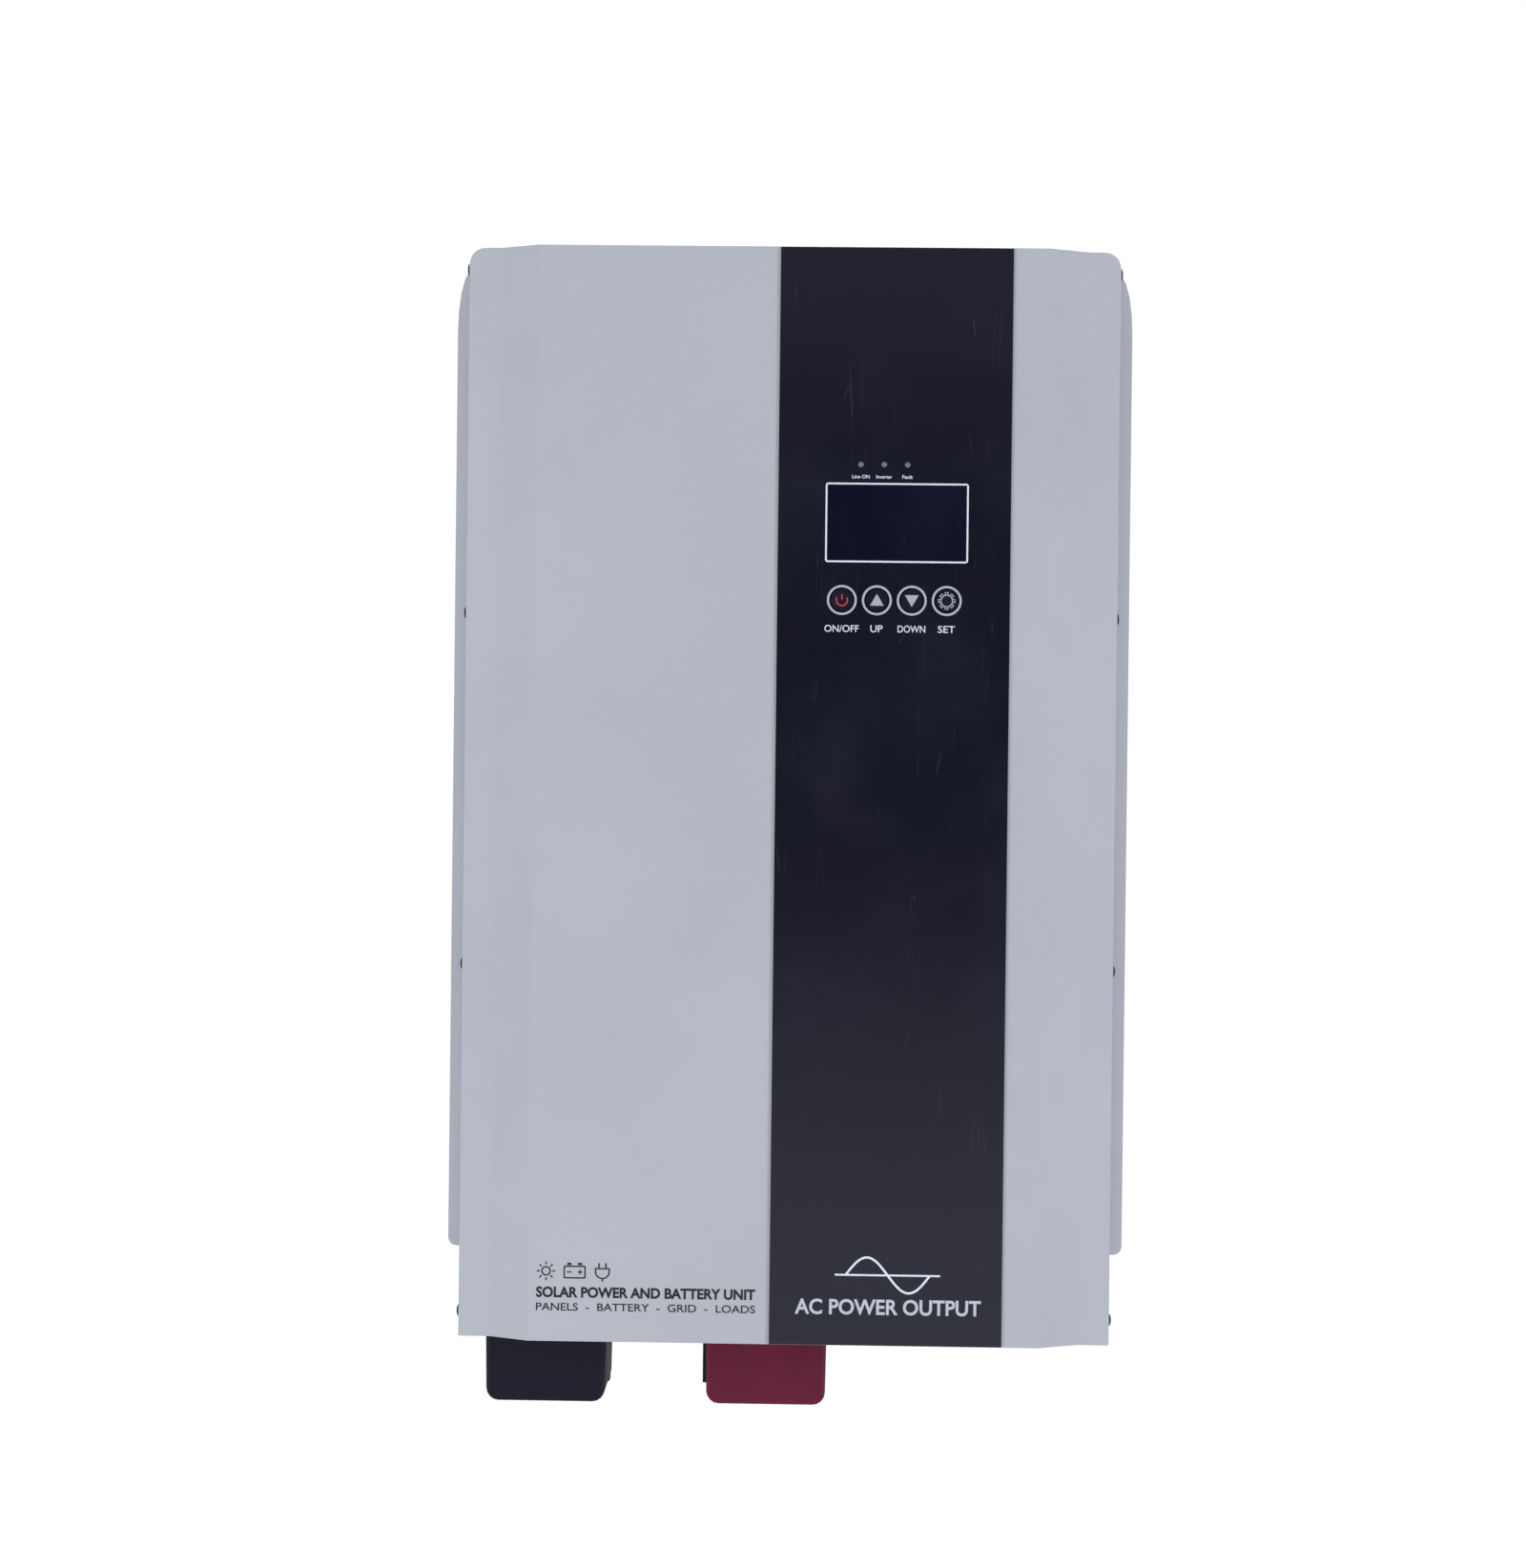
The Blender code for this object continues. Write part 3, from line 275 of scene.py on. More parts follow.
def printed_film(name, colour, roughness=0.19):
    """Dark printed polyester film: satin, with fine hair scratches and faint smudges."""
    m = Nodes(name)
    m.set(specular=0.42)
    smudge = m.ramp(m.noise(9, 5, 0.62), 0.45, 0.75)
    scratches = None
    for turn, reach in ((38, 42), (-57, 55), (83, 48)):
        along = m.stretched((1.0, 1.0, 0.06), (0, turn, 0))
        line = m.ramp(m.cells(reach, "DISTANCE_TO_EDGE", along), 0.0, 0.004, 1.0, 0.0)
        patch = m.ramp(m.noise(19, 2, where=m.stretched((1, 1, 1), (turn, 0, turn))), 0.60, 0.68)
        line = m.maths("MULTIPLY", line, patch)
        scratches = line if scratches is None else m.maths("MAXIMUM", scratches, line)
    dust = m.ramp(m.cells(75), 0.012, 0.020, 1.0, 0.0)
    marks = m.maths("MAXIMUM", scratches, m.maths("MULTIPLY", dust, 0.8))
    soiled = m.blend(m.maths("MULTIPLY", smudge, 0.35), colour, tint(colour, 1.6))
    m.colour(m.blend(m.maths("MULTIPLY", marks, 0.35), soiled, (0.07, 0.075, 0.095)))
    rough = m.ramp(smudge, 0.0, 1.0, roughness, roughness + 0.10)
    m.roughness(m.maths("ADD", rough, m.maths("MULTIPLY", scratches, 0.15)))
    m.bump(m.noise(1900, 2), 0.0001, 0.10)
    return m.material


def dark_window(name, colour):
    """The display's hard-coated window: near-mirror gloss with a few hairlines and wiped smears."""
    m = Nodes(name)
    m.set(specular=0.25)
    smear = m.ramp(m.noise(30, 4, 0.6, m.stretched((1, 1, 0.35), (0, 35, 0))), 0.45, 0.75)
    along = m.stretched((1.0, 1.0, 0.03), (0, 31, 0))
    line = m.ramp(m.cells(320, "DISTANCE_TO_EDGE", along), 0.0, 0.010, 1.0, 0.0)
    line = m.maths("MULTIPLY", line, m.ramp(m.noise(40, 2), 0.5, 0.62))
    wiped = m.blend(m.maths("MULTIPLY", smear, 0.35), colour, tint(colour, 1.8))
    m.colour(m.blend(m.maths("MULTIPLY", line, 0.4), wiped, (0.05, 0.05, 0.08)))
    m.roughness(m.ramp(smear, 0.0, 1.0, 0.09, 0.2))
    m.bump(m.noise(120, 2), 0.0001, 0.03)
    return m.material


def moulded_plastic(name, colour, roughness=0.42, grain=2100):
    """Injection-moulded plastic with a fine spark-eroded grain and a scuffed sheen."""
    m = Nodes(name)
    m.set(specular=0.15)
    cloud = m.ramp(m.noise(28, 4), 0.35, 0.7)
    m.colour(m.blend(cloud, tint(colour, 0.92), tint(colour, 1.09)))
    m.roughness(m.ramp(m.noise(60, 5, 0.65), 0.35, 0.7, roughness - 0.06, roughness + 0.1))
    m.bump(m.noise(grain, 2), 0.0002, 0.35)
    return m.material


def bare_metal(name, colour, roughness, scale=(1, 1, 1)):
    """Plated or extruded metal: drawn lines along the stretch, and a cloudy, finger-marked gloss."""
    m = Nodes(name)
    m.set(metallic=1.0)
    cloud = m.ramp(m.noise(45, 5, 0.6), 0.3, 0.7)
    m.colour(m.blend(cloud, tint(colour, 0.86), tint(colour, 1.06)))
    drawn = m.noise(900, 3, 0.6, m.stretched(scale))
    m.roughness(m.maths("ADD", m.ramp(cloud, 0, 1, roughness - 0.06, roughness + 0.08),
                        m.ramp(drawn, 0.3, 0.7, -0.05, 0.05)))
    m.bump(drawn, 0.00015, 0.3)
    return m.material


def spangled_zinc(name, colour):
    """Galvanised sheet: crystals that differ a little in tone and gloss."""
    m = Nodes(name)
    m.set(metallic=1.0)
    crystal = m.cells(160, "F1", output="Color")
    split = m.add("ShaderNodeSeparateColor")
    m.link(crystal, split.inputs["Color"])
    shade = split.outputs["Red"]
    m.colour(m.blend(shade, tint(colour, 0.82), tint(colour, 1.08)))
    m.roughness(m.ramp(shade, 0.0, 1.0, 0.32, 0.48))
    m.bump(m.noise(300, 3), 0.0002, 0.15)
    return m.material


def solder_mask(name, colour):
    """A circuit board: copper tracks showing under a glossy lacquer, with tinned vias."""
    m = Nodes(name)
    m.set(specular=0.55, coat=0.3, coat_roughness=0.12)
    ways = []
    for turn in (0, 90):
        across = m.stretched((1, 1, 1), (0, turn, 0))
        wave = m.add("ShaderNodeTexWave", wave_type="BANDS", bands_direction="X")
        wave.inputs["Scale"].default_value = 120
        m.link(across, wave.inputs["Vector"])
        patch = m.ramp(m.noise(55, 1, where=m.stretched((1, 1, 1), (turn, 0, 40))), 0.5, 0.52)
        line = m.ramp(wave.outputs["Fac"], 0.62, 0.7)
        ways.append(m.maths("MULTIPLY", line, patch))
    track = m.maths("MAXIMUM", ways[0], ways[1])
    via = m.ramp(m.cells(210), 0.10, 0.13, 1.0, 0.0)
    board = m.blend(track, colour, tint(colour, 1.9))
    m.colour(m.blend(via, board, (0.55, 0.52, 0.42)))
    m.roughness(m.ramp(m.noise(80, 3), 0.3, 0.7, 0.25, 0.4))
    m.bump(track, 0.0001, 0.4)
    return m.material


def wound_copper(name, colour):
    """Enamelled wire laid round a ring, seen as fine lines that cross the winding."""
    m = Nodes(name)
    m.set(specular=0.5, coat=0.35, coat_roughness=0.15)
    wave = m.add("ShaderNodeTexWave", wave_type="RINGS", rings_direction="Y")
    wave.inputs["Scale"].default_value = 95
    wave.inputs["Distortion"].default_value = 1.2
    m.link(m.place, wave.inputs["Vector"])
    m.colour(m.blend(wave.outputs["Fac"], tint(colour, 0.45), colour))
    m.roughness(m.ramp(m.noise(40, 4), 0.3, 0.7, 0.3, 0.45))
    m.bump(wave.outputs["Fac"], 0.0008, 0.8)
    return m.material


def frosted_lens(name, colour):
    """The diffused epoxy of an indicator lamp that is not lit."""
    m = Nodes(name)
    m.set(specular=0.6, transmission=0.25, subsurface=0.15)
    core = m.ramp(m.noise(700, 3), 0.3, 0.7)
    m.colour(m.blend(core, tint(colour, 0.85), tint(colour, 1.1)))
    m.roughness(m.ramp(m.noise(900, 2), 0.3, 0.7, 0.16, 0.26))
    m.bump(m.noise(1500, 2), 0.00005, 0.15)
    return m.material


def printed_ink(name, colour):
    """Screen-printed ink: matt, with a slightly uneven deposit."""
    m = Nodes(name)
    m.set(specular=0.35)
    deposit = m.ramp(m.noise(900, 4, 0.6), 0.3, 0.7)
    m.colour(m.blend(deposit, tint(colour, 0.9), tint(colour, 1.04)))
    m.roughness(m.ramp(m.noise(400, 3), 0.3, 0.7, 0.42, 0.56))
    m.bump(m.noise(2200, 2), 0.00005, 0.25)
    return m.material


MATERIALS = {
    "cover_paint": powder_coat("cover_paint_look", (0.415, 0.436, 0.475)),
    # The hoods and chassis carry the cover's paint, made lighter here as painted light to offset the shade
    # that the cover throws on them.
    "case_paint": powder_coat("case_paint_painted_light_look", (0.492, 0.495, 0.555), 0.52),
    "panel_film": printed_film("panel_film_look", (0.0037, 0.0036, 0.0118)),
    "key_film": printed_film("key_film_look", (0.0044, 0.0047, 0.0130), 0.24),
    "display_window": dark_window("display_window_look", (0.0046, 0.0046, 0.0145)),
    "led_lens": frosted_lens("led_lens_look", (0.20, 0.205, 0.23)),
    # Dark plating, darkened further as painted shade that stands in for the dark reflections on the screw
    # heads.
    "screw_steel": bare_metal("screw_steel_look", (0.024, 0.024, 0.028), 0.14),
    "zinc_steel": spangled_zinc("zinc_steel_look", (0.58, 0.60, 0.63)),
    "brass": bare_metal("brass_look", (0.72, 0.52, 0.24), 0.28),
    "aluminium": bare_metal("aluminium_look", (0.70, 0.71, 0.73), 0.36, (1, 1, 0.03)),
    "black_plastic": moulded_plastic("black_plastic_look", (0.0052, 0.0054, 0.0150)),
    "red_plastic": moulded_plastic("red_plastic_look", (0.122, 0.0085, 0.0290)),
    "circuit_board": solder_mask("circuit_board_look", (0.012, 0.075, 0.035)),
    "rubber": moulded_plastic("rubber_look", (0.010, 0.010, 0.011), 0.75, 1200),
    "winding": wound_copper("winding_look", (0.52, 0.22, 0.07)),
    "capacitor_sleeve": moulded_plastic("capacitor_sleeve_look", (0.010, 0.014, 0.040), 0.25, 500),
    "lcd_frame": moulded_plastic("lcd_frame_look", (0.030, 0.030, 0.033), 0.5),
}

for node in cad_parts.values():
    for material_slot in node.material_slots:
        material_slot.material = MATERIALS[material_slot.material.name.split(".")[0]]

# ---------------------------------------------------------------- pieces


def mesh_of(bm, name):
    """Turns bm into a mesh, and frees it."""
    mesh = bpy.data.meshes.new(name)
    bm.to_mesh(mesh)
    bm.free()
    return mesh


def add_copy(bm, other):
    """Adds what other holds to bm, and frees other."""
    mesh = mesh_of(other, "copy")
    bm.from_mesh(mesh)
    bpy.data.meshes.remove(mesh)


def cut_away(mesh, cutter, self_crossing=False):
    """A new mesh: what is left of mesh outside cutter. Only a cutter whose parts cross is self_crossing."""
    blank = bpy.data.objects.new("cut_blank", mesh)
    tool = bpy.data.objects.new("cut_tool", cutter)
    for obj in (blank, tool):
        bpy.context.scene.collection.objects.link(obj)
    cut = blank.modifiers.new("cut", "BOOLEAN")
    cut.object = tool
    cut.operation = "DIFFERENCE"
    cut.solver = "EXACT"
    cut.use_self = self_crossing
    bpy.context.view_layer.update()
    depsgraph = bpy.context.evaluated_depsgraph_get()
    result = bpy.data.meshes.new_from_object(blank.evaluated_get(depsgraph))
    for obj in (blank, tool):
        bpy.data.objects.remove(obj)
    return result


def finished(name, bm, material, body="case", sharp=35.0):
    """Turns bm into an object that rides on body, smooth except at edges sharper than sharp degrees."""
    bmesh.ops.remove_doubles(bm, verts=bm.verts, dist=1e-7)
    bmesh.ops.recalc_face_normals(bm, faces=bm.faces)
    limit = math.radians(sharp)
    for face in bm.faces:
        face.smooth = True
    for edge in bm.edges:
        edge.smooth = len(edge.link_faces) == 2 and edge.calc_face_angle(0.0) < limit
    mesh = mesh_of(bm, name)
    mesh.materials.append(material)
    obj = bpy.data.objects.new(name, mesh)
    bpy.context.scene.collection.objects.link(obj)
    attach(obj, body)
    return obj


def add_slab(bm, outline, front, back):
    """A flat piece facing the front: outline is a list of (x, z), front and back are its y values."""
    near = [bm.verts.new((x, front, z)) for x, z in outline]
    far = [bm.verts.new((x, back, z)) for x, z in outline]
    bm.faces.new(near)
    bm.faces.new(list(reversed(far)))
    count = len(outline)
    for i in range(count):
        j = (i + 1) % count
        bm.faces.new((near[i], far[i], far[j], near[j]))


def add_band(bm, outer, inner, front, back, closed=True):
    """A flat strip between two outlines with the same number of points."""
    rows = [[bm.verts.new((x, y, z)) for x, z in line]
            for line, y in ((outer, front), (inner, front), (inner, back), (outer, back))]
    count = len(outer)
    for i in range(count if closed else count - 1):
        j = (i + 1) % count
        for near, far in zip(rows, rows[1:] + rows[:1]):
            bm.faces.new((near[i], near[j], far[j], far[i]))
    if not closed:
        for i in (0, count - 1):
            bm.faces.new([row[i] for row in rows])


def join_rings(bm, rings, closed=True):
    """Faces between rings that have the same number of points; closed also joins the last to the first."""
    count = len(rings[0])
    for near, far in zip(rings, rings[1:] + (rings[:1] if closed else [])):
        for i in range(count):
            j = (i + 1) % count
            bm.faces.new((near[i], near[j], far[j], far[i]))


def circle_points(centre, radius, steps, start=0.0, sweep=360.0):
    full = abs(sweep) >= 360.0
    last = steps if full else steps - 1
    angles = [math.radians(start + sweep * i / last) for i in range(steps)]
    return [(centre[0] + radius * math.cos(a), centre[1] + radius * math.sin(a)) for a in angles]


def round_rectangle(centre, width, height, radius, steps=5):
    points = []
    corners = ((1, 1, 0), (-1, 1, 90), (-1, -1, 180), (1, -1, 270))
    for side, top, start in corners:
        middle = (centre[0] + side * (width / 2 - radius), centre[1] + top * (height / 2 - radius))
        points += circle_points(middle, radius, steps, start, 90.0)
    return points


def stroke(bm, points, width, front, back, closed=False):
    """A line of even width drawn along points, with square ends."""
    sides = ([], [])
    count = len(points)
    for i, point in enumerate(points):
        before = points[i - 1] if i or closed else point
        after = points[(i + 1) % count] if i < count - 1 or closed else point
        here = Vector(point)
        into = (here - Vector(before)) if before is not point else (Vector(after) - here)
        out = (Vector(after) - here) if after is not point else into
        into.normalize()
        out.normalize()
        normal = (Vector((-into.y, into.x)) + Vector((-out.y, out.x))).normalized()
        reach = width / 2 / max(0.35, normal.dot(Vector((-out.y, out.x))))
        sides[0].append(tuple(here + normal * reach))
        sides[1].append(tuple(here - normal * reach))
    add_band(bm, sides[0], sides[1], front, back, closed)


def lettering(name, words, left, base, width, height, front, material, weight):
    """Printed words: left and base are the x and z of their lower left corner."""
    data = bpy.data.curves.new(name + "_line", "FONT")
    data.body = words
    data.resolution_u = 4
    data.offset = weight
    data.extrude = 0.5
    line = bpy.data.objects.new(name + "_line", data)
    bpy.context.scene.collection.objects.link(line)
    bpy.context.view_layer.update()
    mesh = bpy.data.meshes.new_from_object(line.evaluated_get(bpy.context.evaluated_depsgraph_get()))
    bpy.data.objects.remove(line)
    bm = bmesh.new()
    bm.from_mesh(mesh)
    bpy.data.meshes.remove(mesh)
    low = [min(v.co[axis] for v in bm.verts) for axis in (0, 1)]
    high = [max(v.co[axis] for v in bm.verts) for axis in (0, 1)]
    for vertex in bm.verts:
        x = left + (vertex.co.x - low[0]) / (high[0] - low[0]) * width
        z = base + (vertex.co.y - low[1]) / (high[1] - low[1]) * height
        vertex.co = (x, front if vertex.co.z > 0 else front + INK_THICKNESS, z)
    return finished(name, bm, material)


def add_turned(bm, profile, centre, axis, steps):
    """A closed turned body: profile is a list of (radius, height), starting and ending on the axis."""
    axis = Vector(axis).normalized()
    side = axis.orthogonal().normalized()
    other = axis.cross(side)
    centre = Vector(centre)
    rings = []
    for radius, height in profile:
        middle = centre + axis * height
        if radius < 1e-9:
            rings.append([bm.verts.new(middle)])
            continue
        angles = [2 * math.pi * i / steps for i in range(steps)]
        rings.append([bm.verts.new(middle + radius * (math.cos(a) * side + math.sin(a) * other))
                      for a in angles])
    for near, far in zip(rings, rings[1:]):
        if len(near) == 1 and len(far) == 1:
            continue
        for i in range(steps):
            j = (i + 1) % steps
            corners = [near[i % len(near)], near[j % len(near)], far[j % len(far)], far[i % len(far)]]
            face = [v for n, v in enumerate(corners) if v not in corners[:n]]
            bm.faces.new(face)


def add_block(bm, low, high):
    made = bmesh.ops.create_cube(bm, size=1.0)["verts"]
    for vertex in made:
        for axis in range(3):
            vertex.co[axis] = low[axis] if vertex.co[axis] < 0 else high[axis]
    return made


# ---------------------------------------------------------------- printing on the control panel

WHITE_INK = printed_ink("white_ink", (0.72, 0.745, 0.83))
GREY_INK = printed_ink("grey_ink", (0.38, 0.39, 0.44))
RING_INK = printed_ink("ring_ink", (0.42, 0.43, 0.50))
RED_INK = printed_ink("red_ink", (0.56, 0.035, 0.060))
BLACK_INK = printed_ink("black_ink", (0.008, 0.009, 0.016))

PANEL_LOW, PANEL_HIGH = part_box("control_panel")
PRINT_FRONT = PANEL_LOW.y - INK_STAND_OFF
PRINT_BACK = PRINT_FRONT + INK_THICKNESS
WINDOW_LOW, WINDOW_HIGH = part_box("display_window")
WINDOW_CENTRE = ((WINDOW_LOW.x + WINDOW_HIGH.x) / 2, (WINDOW_LOW.z + WINDOW_HIGH.z) / 2)
WINDOW_SIZE = (WINDOW_HIGH.x - WINDOW_LOW.x, WINDOW_HIGH.z - WINDOW_LOW.z)
KEY_NAMES = [name for words, name, width in KEY_WORDS]
LAMP_NAMES = [name for words, name, width in LAMP_WORDS]


def centre_of(node):
    low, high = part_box(node)
    return (low + high) / 2


def display_border():
    width = WINDOW_SIZE[0] + 2 * LINE_GAP
    height = WINDOW_SIZE[1] + 2 * LINE_GAP
    bm = bmesh.new()
    outer = round_rectangle(WINDOW_CENTRE, width + 2 * LINE_WIDTH, height + 2 * LINE_WIDTH, 0.0016)
    inner = round_rectangle(WINDOW_CENTRE, width, height, 0.0005)
    add_band(bm, outer, inner, PRINT_FRONT, PRINT_BACK)
    finished("display_border", bm, WHITE_INK)


def key_rings():
    bm = bmesh.new()
    for name in KEY_NAMES:
        centre = centre_of("button_" + name)
        middle = (centre.x, centre.z)
        outer, inner = (circle_points(middle, radius, 72) for radius in KEY_RING_RADII)
        add_band(bm, outer, inner, PRINT_FRONT, PRINT_BACK)
    finished("key_rings", bm, RING_INK)


def add_gear(bm, middle, front, back):
    """A cogwheel sign: a ring with eight open blocks standing on it."""
    stroke(bm, circle_points(middle, 0.0035, 48), 0.00055, front, back, closed=True)
    for tooth in range(8):
        turn = math.radians(45.0 * tooth)
        block = []
        for across, reach in ((-0.0009, 0.0037), (-0.0009, 0.0050), (0.0009, 0.0050), (0.0009, 0.0037)):
            block.append((middle[0] + across * math.cos(turn) - reach * math.sin(turn),
                          middle[1] + across * math.sin(turn) + reach * math.cos(turn)))
        stroke(bm, block, 0.00045, front - INK_OVERLAP, back)


def key_symbols():
    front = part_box("button_power")[0].y - INK_STAND_OFF
    back = front + INK_THICKNESS
    for name in KEY_NAMES:
        centre = centre_of("button_" + name)
        middle = (centre.x, centre.z)
        bm = bmesh.new()
        ink = GREY_INK
        if name == "power":
            stroke(bm, circle_points(middle, 0.0034, 28, 152, 236), 0.0008, front, back)
            add_slab(bm, [(middle[0] + x, middle[1] + z) for x, z in
                          ((-0.0004, 0.0002), (0.0004, 0.0002), (0.0004, 0.0034), (-0.0004, 0.0034))],
                     front, back)
            ink = RED_INK
        elif name == "set":
            add_gear(bm, middle, front, back)
            ink = RING_INK
        else:
            rise = 1 if name == "up" else -1
            add_slab(bm, [(middle[0] - 0.0042, middle[1] - rise * 0.0033),
                          (middle[0] + 0.0042, middle[1] - rise * 0.0033),
                          (middle[0], middle[1] + rise * 0.0039)], front, back)
        finished("symbol_" + name, bm, ink, "button_" + name)


def key_and_lamp_words():
    groups = (("button_", KEY_WORDS, KEY_WORD_DROP, KEY_WORD_HEIGHT, 0.004),
              ("led_", LAMP_WORDS, LAMP_WORD_DROP, LAMP_WORD_HEIGHT, 0.010))
    for prefix, group, drop, height, weight in groups:
        for words, name, width in group:
            centre = centre_of(prefix + name)
            lettering("word_" + name, words, centre.x - width / 2, centre.z - drop, width, height,
                      PRINT_FRONT, WHITE_INK, weight)


def sine_symbol():
    """One period of a sine wave across its axis."""
    left = PANEL_LOW.x + 0.0397
    axis_z = PANEL_LOW.z + 0.0430
    length = 0.0645
    bm = bmesh.new()
    axis = round_rectangle((left + length / 2, axis_z), length, 0.0011, 0.0005)
    add_slab(bm, axis, PRINT_FRONT, PRINT_BACK)
    finished("sine_axis", bm, WHITE_INK)
    bm = bmesh.new()
    start, span, rise = left + 0.0068, 0.0512, 0.0108
    points = [(start + span * i / 48, axis_z + rise * math.sin(2 * math.pi * i / 48)) for i in range(49)]
    stroke(bm, points, 0.0013, PRINT_FRONT - INK_OVERLAP, PRINT_BACK)
    finished("sine_wave", bm, WHITE_INK)


def printed_pictograms(left, base, front):
    """Sun, battery and plug, the plain signs of what such a unit joins together."""
    back = front + INK_THICKNESS
    bm = bmesh.new()
    sun = (left + 0.0060, base + 0.0058)
    add_band(bm, circle_points(sun, 0.0030, 36), circle_points(sun, 0.0021, 36), front, back)
    for ray in range(8):
        angle = math.radians(45 * ray)
        ends = [(sun[0] + reach * math.cos(angle), sun[1] + reach * math.sin(angle))
                for reach in (0.0039, 0.0057)]
        stroke(bm, ends, 0.0009, front, back)
    battery = (left + 0.0235, base + 0.0053)
    add_band(bm, round_rectangle(battery, 0.0136, 0.0080, 0.0010),
             round_rectangle(battery, 0.0118, 0.0062, 0.0005), front, back)
    for share in (-0.0033, 0.0033):
        post = (battery[0] + share, battery[1] + 0.0050)
        add_slab(bm, round_rectangle(post, 0.0026, 0.0015, 0.0003), front, back)
        add_slab(bm, round_rectangle((battery[0] + share, battery[1]), 0.0030, 0.0008, 0.0002), front, back)
    add_slab(bm, round_rectangle((battery[0] + 0.0033, battery[1]), 0.0008, 0.0030, 0.0002),
             front - INK_OVERLAP, back)
    plug = (left + 0.0405, base + 0.0058)
    body = circle_points(plug, 0.0042, 24, 180, 180) + [(plug[0] + 0.0042, plug[1] + 0.0018),
                                                        (plug[0] - 0.0042, plug[1] + 0.0018)]
    stroke(bm, body, 0.0009, front, back, closed=True)
    for share in (-0.0021, 0.0021):
        prong = (plug[0] + share, plug[1] + 0.0037)
        add_slab(bm, round_rectangle(prong, 0.0010, 0.0030, 0.0002), front, back)
    add_slab(bm, round_rectangle((plug[0], plug[1] - 0.0053), 0.0010, 0.0018, 0.0002), front, back)
    finished("pictograms", bm, BLACK_INK)


def film_edge():
    """The pale cut edge of the film, which shows as a hairline down its left side."""
    bm = bmesh.new()
    left = PANEL_LOW.x - 0.00025
    outline = [(left, PANEL_LOW.z), (PANEL_LOW.x, PANEL_LOW.z), (PANEL_LOW.x, PANEL_HIGH.z),
               (left, PANEL_HIGH.z)]
    add_slab(bm, outline, PANEL_LOW.y, PANEL_LOW.y + 0.0004)
    finished("film_edge", bm, printed_ink("edge_ink", (0.50, 0.42, 0.35)))


def front_printing():
    cover_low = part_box("front_cover")[0]
    film_edge()
    display_border()
    key_rings()
    key_symbols()
    key_and_lamp_words()
    sine_symbol()
    lettering("panel_words", "AC POWER OUTPUT", PANEL_LOW.x + 0.0157, PANEL_LOW.z + 0.0187, 0.1134, 0.0096,
              PRINT_FRONT, printed_ink("pale_ink", (0.49, 0.51, 0.58)), 0.022)
    left = cover_low.x + 0.0490
    low = cover_low.z
    front = cover_low.y - INK_STAND_OFF
    printed_pictograms(left, low + 0.0372, front)
    lettering("cover_words", "SOLAR POWER AND BATTERY UNIT", left, low + 0.0268, 0.1341, 0.0067,
              front, BLACK_INK, 0.038)
    lettering("cover_small_words", "PANELS  -  BATTERY  -  GRID  -  LOADS", left, low + 0.0188,
              0.1341, 0.0048, front, BLACK_INK, 0.012)


front_printing()

# ---------------------------------------------------------------- screws, louvres and lamps


def screw_head_mesh(radius, height, recess):
    """A domed head with a cross recess, standing on z = 0 and pointing up."""
    bm = bmesh.new()
    dome = [(0.0, -0.0004), (radius * 0.97, -0.0004), (radius, 0.0), (radius * 0.985, height * 0.22)]
    for step in range(1, 9):
        angle = math.pi / 2 * step / 8
        dome.append((radius * 0.96 * math.cos(angle), height * (0.24 + 0.76 * math.sin(angle))))
    dome[-1] = (0.0, height)
    add_turned(bm, dome, (0, 0, 0), (0, 0, 1), 40)
    bmesh.ops.recalc_face_normals(bm, faces=bm.faces)
    cross = bmesh.new()
    for turn in (0, 90):
        made = add_block(cross, (-radius * recess, -radius * 0.13, height * 0.36),
                         (radius * recess, radius * 0.13, height * 1.5))
        bmesh.ops.rotate(cross, verts=made, matrix=Matrix.Rotation(math.radians(turn), 3, "Z"))
    return cut_away(mesh_of(bm, "screw_head"), mesh_of(cross, "screw_cross"), self_crossing=True)


def place_heads(name, template, places):
    """Copies of a screw head at (point, direction, turn) places, as one object."""
    bm = bmesh.new()
    for point, direction, turn in places:
        copy = bmesh.new()
        copy.from_mesh(template)
        stand = Vector(direction).to_track_quat("Z", "Y").to_matrix().to_4x4()
        spin = Matrix.Rotation(math.radians(turn), 4, "Z")
        copy.transform(Matrix.Translation(point) @ stand @ spin)
        add_copy(bm, copy)
    return finished(name, bm, MATERIALS["screw_steel"], sharp=32.0)


def add_washer(bm, seat, direction, inner, outer, thick):
    """A flat ring that lies on seat and faces sideways, with its outer edge taken off."""
    section = ((inner, 0.0), (inner, thick), (outer - thick * 0.6, thick), (outer, thick * 0.45),
               (outer, 0.0))
    rings = []
    for radius, height in section:
        circle = circle_points((seat.y, seat.z), radius, 40)
        rings.append([bm.verts.new((seat.x + direction * height, y, z)) for y, z in circle])
    join_rings(bm, rings)


def cover_screw_heads():
    """Cross-head screws on bright washers, four down each side flange of the cover. The heads' dark plating
    is darkened further as painted shade, standing in for the dark reflections on them.
    """
    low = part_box("cover_screw_left_1")[0]
    height = -FLANGE_OUTSIDE - low.x
    template = screw_head_mesh(SCREW_HEAD, height - WASHER_THICK, 0.52)
    for side, direction in (("left", -1), ("right", 1)):
        washers = bmesh.new()
        for number in range(1, 5):
            node = f"cover_screw_{side}_{number}"
            centre = centre_of(node)
            seat = Vector((direction * FLANGE_OUTSIDE, centre.y, centre.z))
            add_washer(washers, seat, direction, SCREW_HEAD * 0.7, WASHER_RADIUS, WASHER_THICK)
            foot = (direction * (FLANGE_OUTSIDE + WASHER_THICK), centre.y, centre.z)
            place = (foot, (direction, 0, 0), 23 * number + 41 * direction)
            made = place_heads(f"screw_{side}_{number}", template, [place])
            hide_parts(node)
        rings = finished("washers_" + side, washers, MATERIALS["zinc_steel"])


